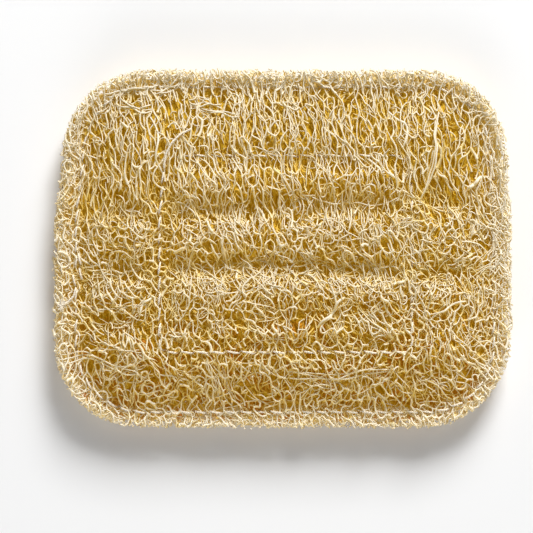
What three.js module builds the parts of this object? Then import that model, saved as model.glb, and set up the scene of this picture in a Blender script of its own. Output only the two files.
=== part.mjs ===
// Natural loofah sponge: one pressed and die-cut pad of loofah net, quilted by two sewn cotton seams.
// It lies flat on z = 0. X runs along the pad, Y across it, Z up. Every length is in millimetres.
import * as THREE from "three";

// Outline of the cut pad, seen from above
const LENGTH = 115;
const WIDTH = 90;
const CORNERS = { backRight: 21.5, backLeft: 22, frontLeft: 21.5, frontRight: 23 };
const NARROWING = { from: 4, to: 26, share: 0.025, shift: 0.55 }; // towards the back, and more on the left

// Heights of the crests of the net
const THICKNESS = 14.4;
const RIM_TOP = 8.4;
const RIM_BOTTOM = 1.8;
const RIM_ROUND = 2.6; // how far in from the cut edge the faces begin to turn down
const CROWN_RUN = 24; // from the outer seam in to the full height

// Outer seam, sewn just inside the cut edge
const OUTER_SEAM = { left: -51.8, right: 52.8, front: -41, back: 40.4 };
const OUTER_SEAM_CORNER = 17;
const OUTER_SEAM_TOP = 7.2;
const OUTER_SEAM_BOTTOM = 1.9;

// Inner seam, sewn as a rectangle in the middle
const INNER_SEAM = { left: -30.7, right: 32, front: -25.8, back: 23 };
const INNER_SEAM_CORNER = 2.5;
const INNER_SEAM_TOP = 12.6;
const INNER_SEAM_BOTTOM = 1.9;
const SEAM_REACH = 5.5; // how far from a seam its pull on the net dies out

// Folds that run along the pad where it was pressed: place across the pad, depth and half width
const FOLDS = [
  { y: 9.8, sway: 0.8, turn: 18, phase: 0, depth: 2.7, spread: 3.2 },
  { y: -5.6, sway: 0.9, turn: 15, phase: 2.1, depth: 3.3, spread: 3.1 },
  { y: -18, sway: 1.5, turn: 12, phase: 0.7, depth: 1.1, spread: 3.2 },
];
// Hollows pressed into the upper face beside the inner seam
const HOLLOWS = [
  { x: 38.5, y: 14, depth: 2.9, spreadX: 4.2, spreadY: 5.5 },
  { x: 38, y: -31.5, depth: 2.3, spreadX: 6, spreadY: 4 },
  { x: -28, y: -14.5, depth: 1.6, spreadX: 4, spreadY: 4 },
];

// The net: fibres meet along the crests round its cells, and each cell is a pit between them
const TOP_CELLS = 430;
const BOTTOM_CELLS = 270;
const RIM_CELLS = 76;
const CELL_STRETCH = 1.45; // cells are longer across the pad, the way the fibres of the wall run
const CELL_SPACING_SHARE = 0.72; // closest two cell centres may lie, as a share of their mean spacing
const RIM_UNEVENNESS = 0.25;
const RIM_CLEAR_SHARE = 0.8; // closest a cell centre may lie to the edge, in rim cells' spacings
const SHORTEST_FIBRE = 0.9;
const PIT_DEPTH = 1.9;
const RIM_PIT_DEPTH = 1.4;
const TOP_FLOOR_SHARE = 0.62; // size of a pit's floor against the ring of crests round it
const OTHER_FLOOR_SHARE = 0.5;
const CREST_ROUGHNESS = 0.35;
const RELAX_PASSES = 2;

// Sewing thread
const STITCH = 3.8;
const THREAD_RADIUS = 0.42;
const THREAD_SIDES = 4;
const THREAD_CLEARANCE = 0.3;
const STITCH_RISE = 0.35;
const STRIP_HALF_WIDTH = 0.95; // net that lies under a thread is pressed down to the seam's level
const PRESS_SLOPE = 0.4; // how steeply the net may rise beside that strip, in the cells it crosses
const SEAM_PIT_DEPTH = 1;
const SEAM_END_GAP = 4; // from a seam's last stitch to where it began
const TAIL_RISE = 1.15; // a loose thread end lies this far above the level of the net's crests
// Loose ends, from the tip to where the seam begins
const OUTER_TAIL = [
  { x: -55, y: -14.2 },
  { x: -53.6, y: -13.2 },
  { x: -52.3, y: -11.9 },
];
const INNER_TAIL = [
  { x: -24, y: 29.6 },
  { x: -26.6, y: 28.4 },
  { x: -28.8, y: 26.2 },
  { x: -30.3, y: 23.4 },
];
const OUTER_SEAM_BEGIN = 0.459; // share of the way round, anticlockwise from the back end of the right side
const INNER_SEAM_BEGIN = 0.303;

const SEED = 20417;

const NET_MATERIAL = new THREE.MeshStandardMaterial({ color: 0xe3cf9c, roughness: 0.78, metalness: 0 });
const THREAD_MATERIAL = new THREE.MeshStandardMaterial({ color: 0xe9ddd0, roughness: 0.7, metalness: 0 });

// Seeded random numbers from 0 to 1
function randomSource(seed) {
  let state = seed >>> 0;
  return () => {
    state = (state + 0x6d2b79f5) >>> 0;
    let t = Math.imul(state ^ (state >>> 15), 1 | state);
    t = (t + Math.imul(t ^ (t >>> 7), 61 | t)) ^ t;
    return ((t ^ (t >>> 14)) >>> 0) / 4294967296;
  };
}

// A rectangle with its own radius at each corner, as the sides' places and the corners' centres
function roundedBox({ left, right, front, back }, { backRight, backLeft, frontLeft, frontRight }) {
  const corners = [
    { x: right - backRight, y: back - backRight, r: backRight, sx: 1, sy: 1 },
    { x: left + backLeft, y: back - backLeft, r: backLeft, sx: -1, sy: 1 },
    { x: left + frontLeft, y: front + frontLeft, r: frontLeft, sx: -1, sy: -1 },
    { x: right - frontRight, y: front + frontRight, r: frontRight, sx: 1, sy: -1 },
  ];
  return { left, right, front, back, corners };
}

function evenCorners(radius) {
  return { backRight: radius, backLeft: radius, frontLeft: radius, frontRight: radius };
}

// The same rounded box grown outwards
function grown(box, by) {
  const corners = box.corners.map((c) => ({ ...c, r: c.r + by }));
  return { left: box.left - by, right: box.right + by, front: box.front - by, back: box.back + by, corners };
}

// Depth of a point inside a rounded box, negative outside, and the outward normal there
function depthIn(box, x, y) {
  for (const c of box.corners) {
    const dx = x - c.x;
    const dy = y - c.y;
    if (dx * c.sx > 0 && dy * c.sy > 0) {
      const reach = Math.hypot(dx, dy);
      return { depth: c.r - reach, nx: dx / reach, ny: dy / reach };
    }
  }
  const sides = [
    { depth: box.right - x, nx: 1, ny: 0 },
    { depth: x - box.left, nx: -1, ny: 0 },
    { depth: box.back - y, nx: 0, ny: 1 },
    { depth: y - box.front, nx: 0, ny: -1 },
  ];
  return sides.reduce((best, side) => (side.depth < best.depth ? side : best));
}

// The rounded box as a path, anticlockwise from the back end of its right side
function pathOf(box) {
  const path = new THREE.Path();
  const quarter = Math.PI / 2;
  box.corners.forEach((c, i) => path.absarc(c.x, c.y, c.r, i * quarter, (i + 1) * quarter, false));
  path.closePath();
  return path;
}

const SILHOUETTE = roundedBox(
  { left: -LENGTH / 2, right: LENGTH / 2, front: -WIDTH / 2, back: WIDTH / 2 },
  CORNERS,
);
const OUTER_LOOP = roundedBox(OUTER_SEAM, evenCorners(OUTER_SEAM_CORNER));
const INNER_LOOP = roundedBox(INNER_SEAM, evenCorners(INNER_SEAM_CORNER));
const RIM_WRAP = RIM_ROUND * (Math.PI / 2 - 1);
const DOMAIN = grown(SILHOUETTE, RIM_WRAP);

// The two seams as they lie on one face
function seamsOn(side) {
  return [
    { loop: OUTER_LOOP, level: side > 0 ? OUTER_SEAM_TOP : OUTER_SEAM_BOTTOM },
    { loop: INNER_LOOP, level: side > 0 ? INNER_SEAM_TOP : INNER_SEAM_BOTTOM },
  ];
}

const bell = (t) => Math.exp(-t * t);
const mix = (a, b, share) => a + (b - a) * share;

// A place on the evenly wide pad, carried to the pad that narrows towards its back
function narrowed(p) {
  const share = THREE.MathUtils.smoothstep(p.y, NARROWING.from, NARROWING.to);
  return new THREE.Vector3(p.x * (1 - NARROWING.share * share) + NARROWING.shift * share, p.y, p.z);
}

// How strongly a seam pulls the net to its own level, from 1 along it to 0 at SEAM_REACH
function seamPull(loop, x, y) {
  const away = Math.abs(depthIn(loop, x, y).depth);
  return 1 - THREE.MathUtils.smoothstep(away, STRIP_HALF_WIDTH, SEAM_REACH);
}

// Height of the upper face's crests
function topLevel(x, y) {
  const inside = depthIn(OUTER_LOOP, x, y).depth;
  if (inside < 0) {
    return mix(OUTER_SEAM_TOP, RIM_TOP, THREE.MathUtils.smoothstep(-inside, STRIP_HALF_WIDTH, 4));
  }
  let full = THICKNESS;
  for (const f of FOLDS) {
    const bottom = f.y + f.sway * Math.sin(x / f.turn + f.phase);
    full -= f.depth * bell((y - bottom) / f.spread);
  }
  for (const h of HOLLOWS) full -= h.depth * bell(Math.hypot((x - h.x) / h.spreadX, (y - h.y) / h.spreadY));
  const rise = Math.sin((Math.PI / 2) * Math.min(1, Math.max(0, inside - STRIP_HALF_WIDTH) / CROWN_RUN));
  const crowned = mix(OUTER_SEAM_TOP, full, rise);
  return mix(crowned, INNER_SEAM_TOP, seamPull(INNER_LOOP, x, y));
}

// Height of the lower face's crests, which are pressed flat on z = 0 between the seams
function bottomLevel(x, y) {
  const inside = depthIn(OUTER_LOOP, x, y).depth;
  if (inside < 0) return mix(OUTER_SEAM_BOTTOM, RIM_BOTTOM, Math.min(1, -inside / 4));
  const outer = OUTER_SEAM_BOTTOM * (1 - THREE.MathUtils.smoothstep(inside, STRIP_HALF_WIDTH, SEAM_REACH));
  const inner = INNER_SEAM_BOTTOM * seamPull(INNER_LOOP, x, y);
  return Math.max(outer, inner);
}

// A place on the flat net, carried to the pad's surface: side is 1 on the upper face and -1 on the lower one
function onSurface(x, y, side) {
  const { depth, nx, ny } = depthIn(SILHOUETTE, x, y);
  const top = topLevel(x, y);
  const bottom = bottomLevel(x, y);
  if (depth >= RIM_ROUND) return new THREE.Vector3(x, y, side > 0 ? top : bottom);
  const turn = Math.min(1, (RIM_ROUND - depth) / (RIM_ROUND + RIM_WRAP)) * (Math.PI / 2);
  const shift = depth - RIM_ROUND * (1 - Math.sin(turn));
  const middle = (top + bottom) / 2;
  const half = (top - bottom) / 2;
  return new THREE.Vector3(x + nx * shift, y + ny * shift, middle + side * half * Math.cos(turn));
}

// Outward normal of the pad's surface at a place on the flat net
function surfaceNormal(x, y, side) {
  const reach = 0.6;
  const { depth, nx, ny } = depthIn(SILHOUETTE, x, y);
  if (depth < -RIM_WRAP + reach) return new THREE.Vector3(nx, ny, 0);
  const across = onSurface(x + reach, y, side).sub(onSurface(x - reach, y, side));
  const along = onSurface(x, y + reach, side).sub(onSurface(x, y - reach, side));
  return across.cross(along).multiplyScalar(side).normalize();
}

// Part of a polygon that lies nearer to one cell centre than to another. Each corner keeps the
// name of the neighbour across the edge that starts there.
function nearerPart(polygon, here, other) {
  const mx = (here.x + other.x) / 2;
  const my = (here.y + other.y) / 2;
  const ax = other.x - here.x;
  const ay = other.y - here.y;
  const beyond = (p) => (p.x - mx) * ax + (p.y - my) * ay;
  const kept = [];
  polygon.forEach((p, i) => {
    const q = polygon[(i + 1) % polygon.length];
    const a = beyond(p);
    const b = beyond(q);
    if (a <= 0) kept.push(p);
    if (a <= 0 !== b <= 0) {
      const t = a / (a - b);
      kept.push({ x: mix(p.x, q.x, t), y: mix(p.y, q.y, t), across: a <= 0 ? other.id : p.across });
    }
  });
  return kept;
}

function centreOf(points) {
  let area = 0;
  let x = 0;
  let y = 0;
  points.forEach((p, i) => {
    const q = points[(i + 1) % points.length];
    const cross = p.x * q.y - q.x * p.y;
    area += cross;
    x += (p.x + q.x) * cross;
    y += (p.y + q.y) * cross;
  });
  return { x: x / (3 * area), y: y / (3 * area) };
}

// Cells of the flat net round the given centres, in coordinates shrunk across the pad
function cellsRound(centres, boundary) {
  return centres.map((here) => {
    const others = centres
      .filter((c) => c !== here)
      .map((c) => ({ c, reach: Math.hypot(c.x - here.x, c.y - here.y) }))
      .sort((a, b) => a.reach - b.reach);
    let polygon = boundary;
    for (const { c, reach } of others) {
      const furthest = Math.max(...polygon.map((p) => Math.hypot(p.x - here.x, p.y - here.y)));
      if (reach > 2 * furthest) break;
      polygon = nearerPart(polygon, here, c);
    }
    return polygon;
  });
}

// Centres spread over the flat net: the same rim ring for both faces, and the rest by seeded draws
function spreadCentres(rim, count, random, boundary) {
  const area = 0.93 * LENGTH * (WIDTH / CELL_STRETCH);
  const spacing = Math.sqrt(area / count) * CELL_SPACING_SHARE;
  const centres = rim.map((c) => ({ ...c }));
  const clearance = RIM_CLEAR_SHARE * Math.hypot(rim[1].x - rim[0].x, rim[1].y - rim[0].y);
  const offEdge = (p) => boundary.every((b) => Math.hypot(b.x - p.x, b.y - p.y) > clearance);
  const missesAllowed = 4000;
  for (let misses = 0; centres.length < rim.length + count && misses < missesAllowed; ) {
    const x = (random() - 0.5) * LENGTH;
    const y = (random() - 0.5) * WIDTH;
    const place = { x, y: y / CELL_STRETCH };
    const clear = centres.every((c) => Math.hypot(c.x - place.x, c.y - place.y) > spacing);
    if (clear && depthIn(DOMAIN, x, y).depth > 0 && offEdge(place)) {
      centres.push({ ...place, id: centres.length });
      misses = 0;
    } else misses += 1;
  }
  for (let pass = 0; pass < RELAX_PASSES; pass += 1) {
    cellsRound(centres, boundary).forEach((polygon, i) => {
      const middle = centreOf(polygon);
      if (i >= rim.length && offEdge(middle)) Object.assign(centres[i], middle);
    });
  }
  return centres;
}

// Corners that several cells share, found by place and given one number each
class SharedCorners {
  constructor() {
    this.corners = [];
  }

  numberOf(p) {
    const apart = (c) => Math.max(Math.abs(c.x - p.x), Math.abs(c.y - p.y));
    const found = this.corners.findIndex((c) => apart(c) < 1e-3);
    if (found >= 0) return found;
    this.corners.push({ x: p.x, y: p.y });
    return this.corners.length - 1;
  }
}

// One face's net: its corners, and for each cell the ring of corner numbers round it
function flatNet(centres, boundary) {
  const shared = new SharedCorners();
  const rings = cellsRound(centres, boundary).map((polygon) => {
    // A corner of the boundary itself lies between two pieces of it, and only its ends are kept
    const held = polygon.filter((p, i) => {
      const before = polygon[(i + polygon.length - 1) % polygon.length];
      return !(p.across === "edge" && before.across === "edge");
    });
    return held.map((p) => shared.numberOf(p));
  });
  const points = shared.corners.map((c) => ({ x: c.x, y: c.y * CELL_STRETCH }));
  return { points, rings: withoutShortFibres(points, rings) };
}

// Joins the two ends of each fibre that is too short to show
function withoutShortFibres(points, rings) {
  const stands = points.map((_, i) => i);
  const find = (i) => (stands[i] === i ? i : find(stands[i]));
  const onEdge = (i) => depthIn(DOMAIN, points[i].x, points[i].y).depth < 0.05;
  for (const ring of rings) {
    ring.forEach((number, i) => {
      const a = find(number);
      const b = find(ring[(i + 1) % ring.length]);
      const length = Math.hypot(points[a].x - points[b].x, points[a].y - points[b].y);
      if (a !== b && length < SHORTEST_FIBRE && !onEdge(a) && !onEdge(b)) stands[b] = a;
    });
  }
  return rings.map((ring) => {
    const joined = ring.map(find);
    return joined.filter((number, i) => number !== joined[(i + 1) % joined.length]);
  });
}

// Whether the crest from one corner to another crosses the strip that a seam's thread lies in
function crossesStrip(loop, a, b) {
  const steps = 12;
  return Array.from({ length: steps + 1 }, (_, s) => s / steps).some(
    (t) => Math.abs(depthIn(loop, mix(a.x, b.x, t), mix(a.y, b.y, t)).depth) < STRIP_HALF_WIDTH,
  );
}

// Presses the cells that a seam crosses: the crests under the thread to the seam's level, and the
// other crests round these cells to a gentle slope up from it
function pressUnder(seam, side, net, places) {
  const press = (number, limit) => {
    const place = places[number];
    place.z = side > 0 ? Math.min(place.z, limit) : Math.max(place.z, limit);
  };
  net.rings.forEach((ring, i) => {
    const crossed = ring.filter((number, k) => {
      const next = ring[(k + 1) % ring.length];
      if (!crossesStrip(seam.loop, net.points[number], net.points[next])) return false;
      press(number, seam.level);
      press(next, seam.level);
      return true;
    });
    if (!crossed.length) return;
    net.floorLimits[i] = seam.level - side * SEAM_PIT_DEPTH;
    for (const number of ring) {
      const { x, y } = net.points[number];
      const away = Math.max(0, Math.abs(depthIn(seam.loop, x, y).depth) - STRIP_HALF_WIDTH);
      press(number, seam.level + side * PRESS_SLOPE * away);
    }
  });
}

// The crests of one face in space
function raisedCrests(net, side, random) {
  const places = net.points.map(({ x, y }) => {
    const place = onSurface(x, y, side);
    const calm = Math.max(seamPull(OUTER_LOOP, x, y), seamPull(INNER_LOOP, x, y));
    const rough = (random() - 0.5) * 2 * CREST_ROUGHNESS * (1 - calm);
    if (side > 0 && depthIn(SILHOUETTE, x, y).depth > RIM_ROUND) place.z += rough;
    return place;
  });
  net.floorLimits = {};
  for (const seam of seamsOn(side)) pressUnder(seam, side, net, places);
  return places;
}

// Collects the triangles of the closed pad
class Skin {
  constructor() {
    this.vertices = [];
    this.triangles = [];
  }

  add(place) {
    this.vertices.push(place);
    return this.vertices.length - 1;
  }

  // A cell: walls from the ring of crests down to a smaller floor, with a corner under each stride of crests
  pit(ring, { normal, depth, floorShare, stride, side = 1, floorLimit = side * Infinity }) {
    const rim = ring.map((number) => this.vertices[number]);
    const centre = rim.reduce((sum, p) => sum.add(p), new THREE.Vector3()).divideScalar(rim.length);
    const sink = normal.clone().multiplyScalar(-depth);
    const floor = [];
    for (let i = 0; i < ring.length; i += stride) {
      const place = rim[i].clone().lerp(centre, 1 - floorShare).add(sink);
      place.z = side > 0 ? Math.min(place.z, floorLimit) : Math.max(place.z, floorLimit);
      floor.push(this.add(place));
    }
    ring.forEach((a, i) => {
      const b = ring[(i + 1) % ring.length];
      const under = Math.floor(i / stride);
      const next = i + 1 === ring.length ? 0 : Math.floor((i + 1) / stride);
      this.triangles.push([a, b, floor[under]]);
      if (next !== under) this.triangles.push([b, floor[next], floor[under]]);
    });
    for (let i = 1; i + 1 < floor.length; i += 1) this.triangles.push([floor[0], floor[i], floor[i + 1]]);
  }

  // A cell that is filled level with its crests
  filled(ring) {
    for (let i = 1; i + 1 < ring.length; i += 1) this.triangles.push([ring[0], ring[i], ring[i + 1]]);
  }

  geometry() {
    const position = new Float32Array(this.vertices.flatMap((p) => narrowed(p).toArray()));
    const made = new THREE.BufferGeometry();
    made.setAttribute("position", new THREE.BufferAttribute(position, 3));
    made.setIndex(this.triangles.flat());
    made.computeVertexNormals();
    return made;
  }
}

// How deep the pits are at a place
function pitDepth(x, y) {
  const { depth } = depthIn(SILHOUETTE, x, y);
  return mix(RIM_PIT_DEPTH, PIT_DEPTH, THREE.MathUtils.smoothstep(depth, RIM_ROUND, 3 * RIM_ROUND));
}

// Ring of cell centres along the edge of the flat net, which both faces share
function rimCentres(random, boundary) {
  const edge = new THREE.CatmullRomCurve3(boundary.map((p) => new THREE.Vector3(p.x, p.y, 0)), true);
  return Array.from({ length: RIM_CELLS }, (_, i) => {
    const p = edge.getPointAt((i + RIM_UNEVENNESS * random()) / RIM_CELLS);
    return { x: p.x, y: p.y, id: i };
  });
}

function isCentral(net, ring) {
  const c = centreOf(ring.map((number) => net.points[number]));
  const nearest = Math.min(
    ...net.rings.slice(RIM_CELLS).map((other) => {
      const o = centreOf(other.map((number) => net.points[number]));
      return Math.hypot(o.x, o.y);
    }),
  );
  return Math.hypot(c.x, c.y) === nearest;
}

function loofahPad() {
  const random = randomSource(SEED);
  const boundary = pathOf(DOMAIN)
    .getSpacedPoints(360)
    .slice(0, -1)
    .map((p) => ({ x: p.x, y: p.y / CELL_STRETCH, across: "edge" }));
  const rim = rimCentres(random, boundary);
  const skin = new Skin();
  const faces = [
    { side: 1, count: TOP_CELLS },
    { side: -1, count: BOTTOM_CELLS },
  ].map(({ side, count }) => {
    const net = flatNet(spreadCentres(rim, count, random, boundary), boundary);
    return { side, net, places: raisedCrests(net, side, random) };
  });

  // Crests on the edge of the flat net belong to both faces
  const edgeCrests = [];
  const crestNumber = (face, i) => {
    const p = face.net.points[i];
    if (depthIn(DOMAIN, p.x, p.y).depth > 0.05) return skin.add(face.places[i]);
    const known = edgeCrests.find((c) => Math.hypot(c.x - p.x, c.y - p.y) < 0.05);
    if (known) return known.number;
    edgeCrests.push({ x: p.x, y: p.y, number: skin.add(face.places[i]) });
    return edgeCrests[edgeCrests.length - 1].number;
  };
  for (const face of faces) face.numbers = face.net.points.map((_, i) => crestNumber(face, i));

  for (const { side, net, numbers } of faces) {
    net.rings.forEach((ring, i) => {
      if (i < RIM_CELLS) return;
      const around = (side > 0 ? ring : [...ring].reverse()).map((number) => numbers[number]);
      if (side < 0 && isCentral(net, ring)) {
        skin.filled(around);
        return;
      }
      const c = centreOf(ring.map((number) => net.points[number]));
      skin.pit(around, {
        normal: surfaceNormal(c.x, c.y, side),
        depth: pitDepth(c.x, c.y),
        floorShare: side > 0 ? TOP_FLOOR_SHARE : OTHER_FLOOR_SHARE,
        stride: side > 0 ? 1 : 2,
        side,
        floorLimit: net.floorLimits[i],
      });
    });
  }

  // A rim cell has an upper and a lower half, joined where they meet on the edge
  const [top, bottom] = faces;
  rim.forEach((centre, i) => {
    const upper = inward(top.net.rings[i], top);
    const lower = inward(bottom.net.rings[i], bottom).reverse();
    const normal = surfaceNormal(centre.x, centre.y * CELL_STRETCH, 1);
    const around = [...upper, ...lower.slice(1, -1)];
    skin.pit(around, { normal, depth: RIM_PIT_DEPTH, floorShare: OTHER_FLOOR_SHARE, stride: 2 });
  });
  const mesh = new THREE.Mesh(skin.geometry(), NET_MATERIAL);
  mesh.name = "loofah_pad";
  return mesh;
}

// A rim cell's half ring, started so that its two crests on the edge are its first and last
function inward(ring, face) {
  const onEdge = ring.map((i) => depthIn(DOMAIN, face.net.points[i].x, face.net.points[i].y).depth < 0.05);
  const start = onEdge.findIndex((edge, i) => edge && !onEdge[(i + 1) % ring.length]);
  return ring.map((_, i) => face.numbers[ring[(start + i) % ring.length]]);
}

// A thread's centre line: its loose end if it has one, then along the seam with a hump for each stitch
function stitchedLine({ loop, level }, side, begin, tail = []) {
  const path = pathOf(loop);
  const length = path.getLength();
  const stitches = Math.round((length - SEAM_END_GAP) / STITCH);
  const points = tail.map(({ x, y }) => new THREE.Vector3(x, y, topLevel(x, y) + TAIL_RISE));
  const pointsPerStitch = 2;
  const lowest = level + side * (THREAD_CLEARANCE + THREAD_RADIUS);
  for (let i = 0; i <= stitches * pointsPerStitch; i += 1) {
    const share = begin + (i / (stitches * pointsPerStitch)) * (1 - SEAM_END_GAP / length);
    const p = path.getPoint(share % 1);
    const raised = i % pointsPerStitch === 1 ? STITCH_RISE : 0;
    points.push(new THREE.Vector3(p.x, p.y, lowest + side * raised));
  }
  return points;
}

// A thread: one closed tube round a line of points
function threadMesh(name, points) {
  const turns = Array.from({ length: THREAD_SIDES }, (_, i) => (i / THREAD_SIDES) * 2 * Math.PI);
  const corners = turns.map((t) => new THREE.Vector2(Math.cos(t), Math.sin(t)));
  for (const corner of corners) corner.multiplyScalar(THREAD_RADIUS);
  const geometry = new THREE.ExtrudeGeometry(new THREE.Shape(corners), {
    steps: points.length - 1,
    bevelEnabled: false,
    extrudePath: new THREE.CatmullRomCurve3(points.map(narrowed), false, "chordal"),
  });
  const mesh = new THREE.Mesh(geometry, THREAD_MATERIAL);
  mesh.name = name;
  return mesh;
}

const [outerTop, innerTop] = seamsOn(1);
const [outerBottom, innerBottom] = seamsOn(-1);
const sponge = new THREE.Group();
sponge.add(loofahPad());
sponge.add(threadMesh("outer_seam_top_thread", stitchedLine(outerTop, 1, OUTER_SEAM_BEGIN, OUTER_TAIL)));
sponge.add(threadMesh("inner_seam_top_thread", stitchedLine(innerTop, 1, INNER_SEAM_BEGIN, INNER_TAIL)));
sponge.add(threadMesh("outer_seam_bottom_thread", stitchedLine(outerBottom, -1, OUTER_SEAM_BEGIN)));
sponge.add(threadMesh("inner_seam_bottom_thread", stitchedLine(innerBottom, -1, INNER_SEAM_BEGIN)));

export default sponge;
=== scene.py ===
"""Natural loofah sponge: an open net of plant fibres, cut to a pad and quilted by two sewn seams.

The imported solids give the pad's place and size. Here each of them is replaced by what it stands
for: the pad by nets of separate fibres that lie over and through each other, and each thread by
plied cotton that dips into the pad between its stitches. Lengths in this file are in
millimetres, and a mesh is scaled to metres when it is made.
"""

import logging
import math
from dataclasses import dataclass, field
from enum import Enum
from typing import Any, Iterable, Mapping, Sequence

import bpy
import numpy as np
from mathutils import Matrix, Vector
from mathutils.geometry import delaunay_2d_cdt


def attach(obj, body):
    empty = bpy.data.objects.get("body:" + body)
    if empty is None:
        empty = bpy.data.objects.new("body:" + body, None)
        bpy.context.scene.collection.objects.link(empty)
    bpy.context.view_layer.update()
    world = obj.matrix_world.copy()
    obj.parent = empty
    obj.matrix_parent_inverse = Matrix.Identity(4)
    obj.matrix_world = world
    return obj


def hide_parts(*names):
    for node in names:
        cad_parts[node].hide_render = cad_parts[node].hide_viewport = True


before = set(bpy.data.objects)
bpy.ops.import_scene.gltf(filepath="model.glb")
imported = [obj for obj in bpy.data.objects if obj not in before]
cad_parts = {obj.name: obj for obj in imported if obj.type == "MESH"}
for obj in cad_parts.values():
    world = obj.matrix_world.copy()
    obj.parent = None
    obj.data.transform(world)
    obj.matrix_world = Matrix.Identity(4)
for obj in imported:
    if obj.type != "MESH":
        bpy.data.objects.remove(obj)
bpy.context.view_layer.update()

Span = tuple[float, float]
Colour = tuple[float, float, float]
Quad = tuple[float, float, float, float]
Route = tuple[Span, ...]

LOG = logging.getLogger("loofah")
MM = 0.001
BODY = "root"
PAD_NODE = "loofah_pad"

# The grain of both materials.
BUMP_HEIGHT = 0.1

# How far fibres keep above the lower face, and how far they may stand over the upper one.
ABOVE_LOWER = 0.1
ABOVE_UPPER = 0.2

# Rows of cells lean to one side and sway in slow waves, each with its length and its reach.
LEAN = 0.14
DRIFTS = {38.0: 1.9, 23.0: 1.3, 13.0: 0.8}
DRIFT_ALONG = 0.7
DRIFT_SLOWER = 0.6
DRIFT_VARIES = (0.85, 1.15)

# How far a branch bends along the fibres that it leaves, and the least share of it that is kept.
BRANCH_TURN = 0.7
SHORTEST_SHARE = 0.05

MERGED_WITHIN = 1e-5
NEARLY_ZERO = 1e-9


class Face(Enum):
    """The two faces of the pad, with the way each one looks along Z."""

    UPPER = 1
    LOWER = -1


def eased(values: np.ndarray, low: float, high: float) -> np.ndarray:
    """Rise smoothly from 0 at low to 1 at high."""
    share = np.clip((values - low) / (high - low), 0.0, 1.0)
    return share * share * (3.0 - 2.0 * share)


def mixed(a: Any, b: Any, share: Any) -> Any:
    """Go from a to b by a share."""
    return a + (b - a) * share


@dataclass(frozen=True)
class SlowWaves:
    """A smooth random field over the pad, made of waves that cross each other."""

    seed: int
    length: float
    count: int = 8
    shortest: float = 0.7
    longest: float = 1.4

    def at(self, places: np.ndarray) -> np.ndarray:
        """Read the field.

        Args:
            places: X and Y in the last axis.

        Returns:
            Values about zero, mostly between -1.5 and 1.5.
        """
        draw = np.random.default_rng(self.seed)
        turns, phases = draw.uniform(0.0, 2 * math.pi, (2, self.count))
        pitches = 2 * math.pi / (self.length * draw.uniform(self.shortest, self.longest, self.count))
        total = np.zeros(places.shape[:-1])
        for turn, phase, pitch in zip(turns, phases, pitches):
            along = places[..., 0] * math.cos(turn) + places[..., 1] * math.sin(turn)
            total = total + np.sin(pitch * along + phase)
        return total * math.sqrt(2 / self.count)


@dataclass(frozen=True)
class RoundedBox:
    """A rectangle with a radius at each corner, listed anticlockwise from the back right one."""

    left: float
    right: float
    front: float
    back: float
    radii: Quad
    corner_steps: int = 24

    def depth(self, places: np.ndarray) -> np.ndarray:
        """Measure how far places lie inside the outline.

        Args:
            places: X and Y in the last axis.

        Returns:
            The depth of each place, negative outside.
        """
        x = places[..., 0] - (self.left + self.right) / 2
        y = places[..., 1] - (self.front + self.back) / 2
        back_right, back_left, front_left, front_right = self.radii
        at_back = np.where(x > 0, back_right, back_left)
        at_front = np.where(x > 0, front_right, front_left)
        radius = np.where(y > 0, at_back, at_front)
        beyond_x = np.abs(x) - (self.right - self.left) / 2 + radius
        beyond_y = np.abs(y) - (self.back - self.front) / 2 + radius
        corner = np.hypot(np.maximum(beyond_x, 0), np.maximum(beyond_y, 0))
        return radius - corner - np.minimum(np.maximum(beyond_x, beyond_y), 0)

    def path(self, spacing: float) -> np.ndarray:
        """Walk round the outline, anticlockwise from the back end of its right side.

        Args:
            spacing: The distance between points.

        Returns:
            The points, evenly spaced, with the first one repeated at the end.
        """
        quarter = math.pi / 2
        across = (self.right, self.left, self.left, self.right)
        along = (self.back, self.back, self.front, self.front)
        inward = ((-1, -1), (1, -1), (1, 1), (-1, 1))
        turned = []
        for number, (x, y, side, radius) in enumerate(zip(across, along, inward, self.radii)):
            angles = np.linspace(number * quarter, (number + 1) * quarter, self.corner_steps)
            centre = np.array([x, y]) + np.array(side) * radius
            turned.append(centre + radius * np.stack([np.cos(angles), np.sin(angles)], 1))
        loop = np.concatenate([*turned, turned[0][:1]])
        return evenly_spaced(loop, spacing)


def evenly_spaced(line: np.ndarray, spacing: float) -> np.ndarray:
    """Place points at an even spacing along a line of points."""
    steps = np.linalg.norm(np.diff(line, axis=0), axis=1)
    run = np.concatenate([[0.0], np.cumsum(steps)])
    at = np.linspace(0.0, run[-1], max(2, round(run[-1] / spacing) + 1))
    return np.stack([np.interp(at, run, line[:, axis]) for axis in range(line.shape[1])], 1)


def at_height(places: np.ndarray, z: np.ndarray) -> np.ndarray:
    """Join places and heights to points."""
    return np.concatenate([places, z[..., None]], axis=-1)


def scattered(draw: np.random.Generator, count: int, length: float, width: float) -> np.ndarray:
    """Scatter places evenly over a rectangle about the middle."""
    x = draw.uniform(-length / 2, length / 2, count)
    return np.stack([x, draw.uniform(-width / 2, width / 2, count)], 1)


@dataclass(frozen=True)
class Fold:
    """A furrow pressed into the upper face, along the pad."""

    y: float
    sway: float
    turn: float
    phase: float
    depth: float
    spread: float

    def sink(self, places: np.ndarray) -> np.ndarray:
        """Measure how far the furrow lowers the face at each place."""
        bottom = self.y + self.sway * np.sin(places[..., 0] / self.turn + self.phase)
        return self.depth * np.exp(-(((places[..., 1] - bottom) / self.spread) ** 2))


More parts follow.
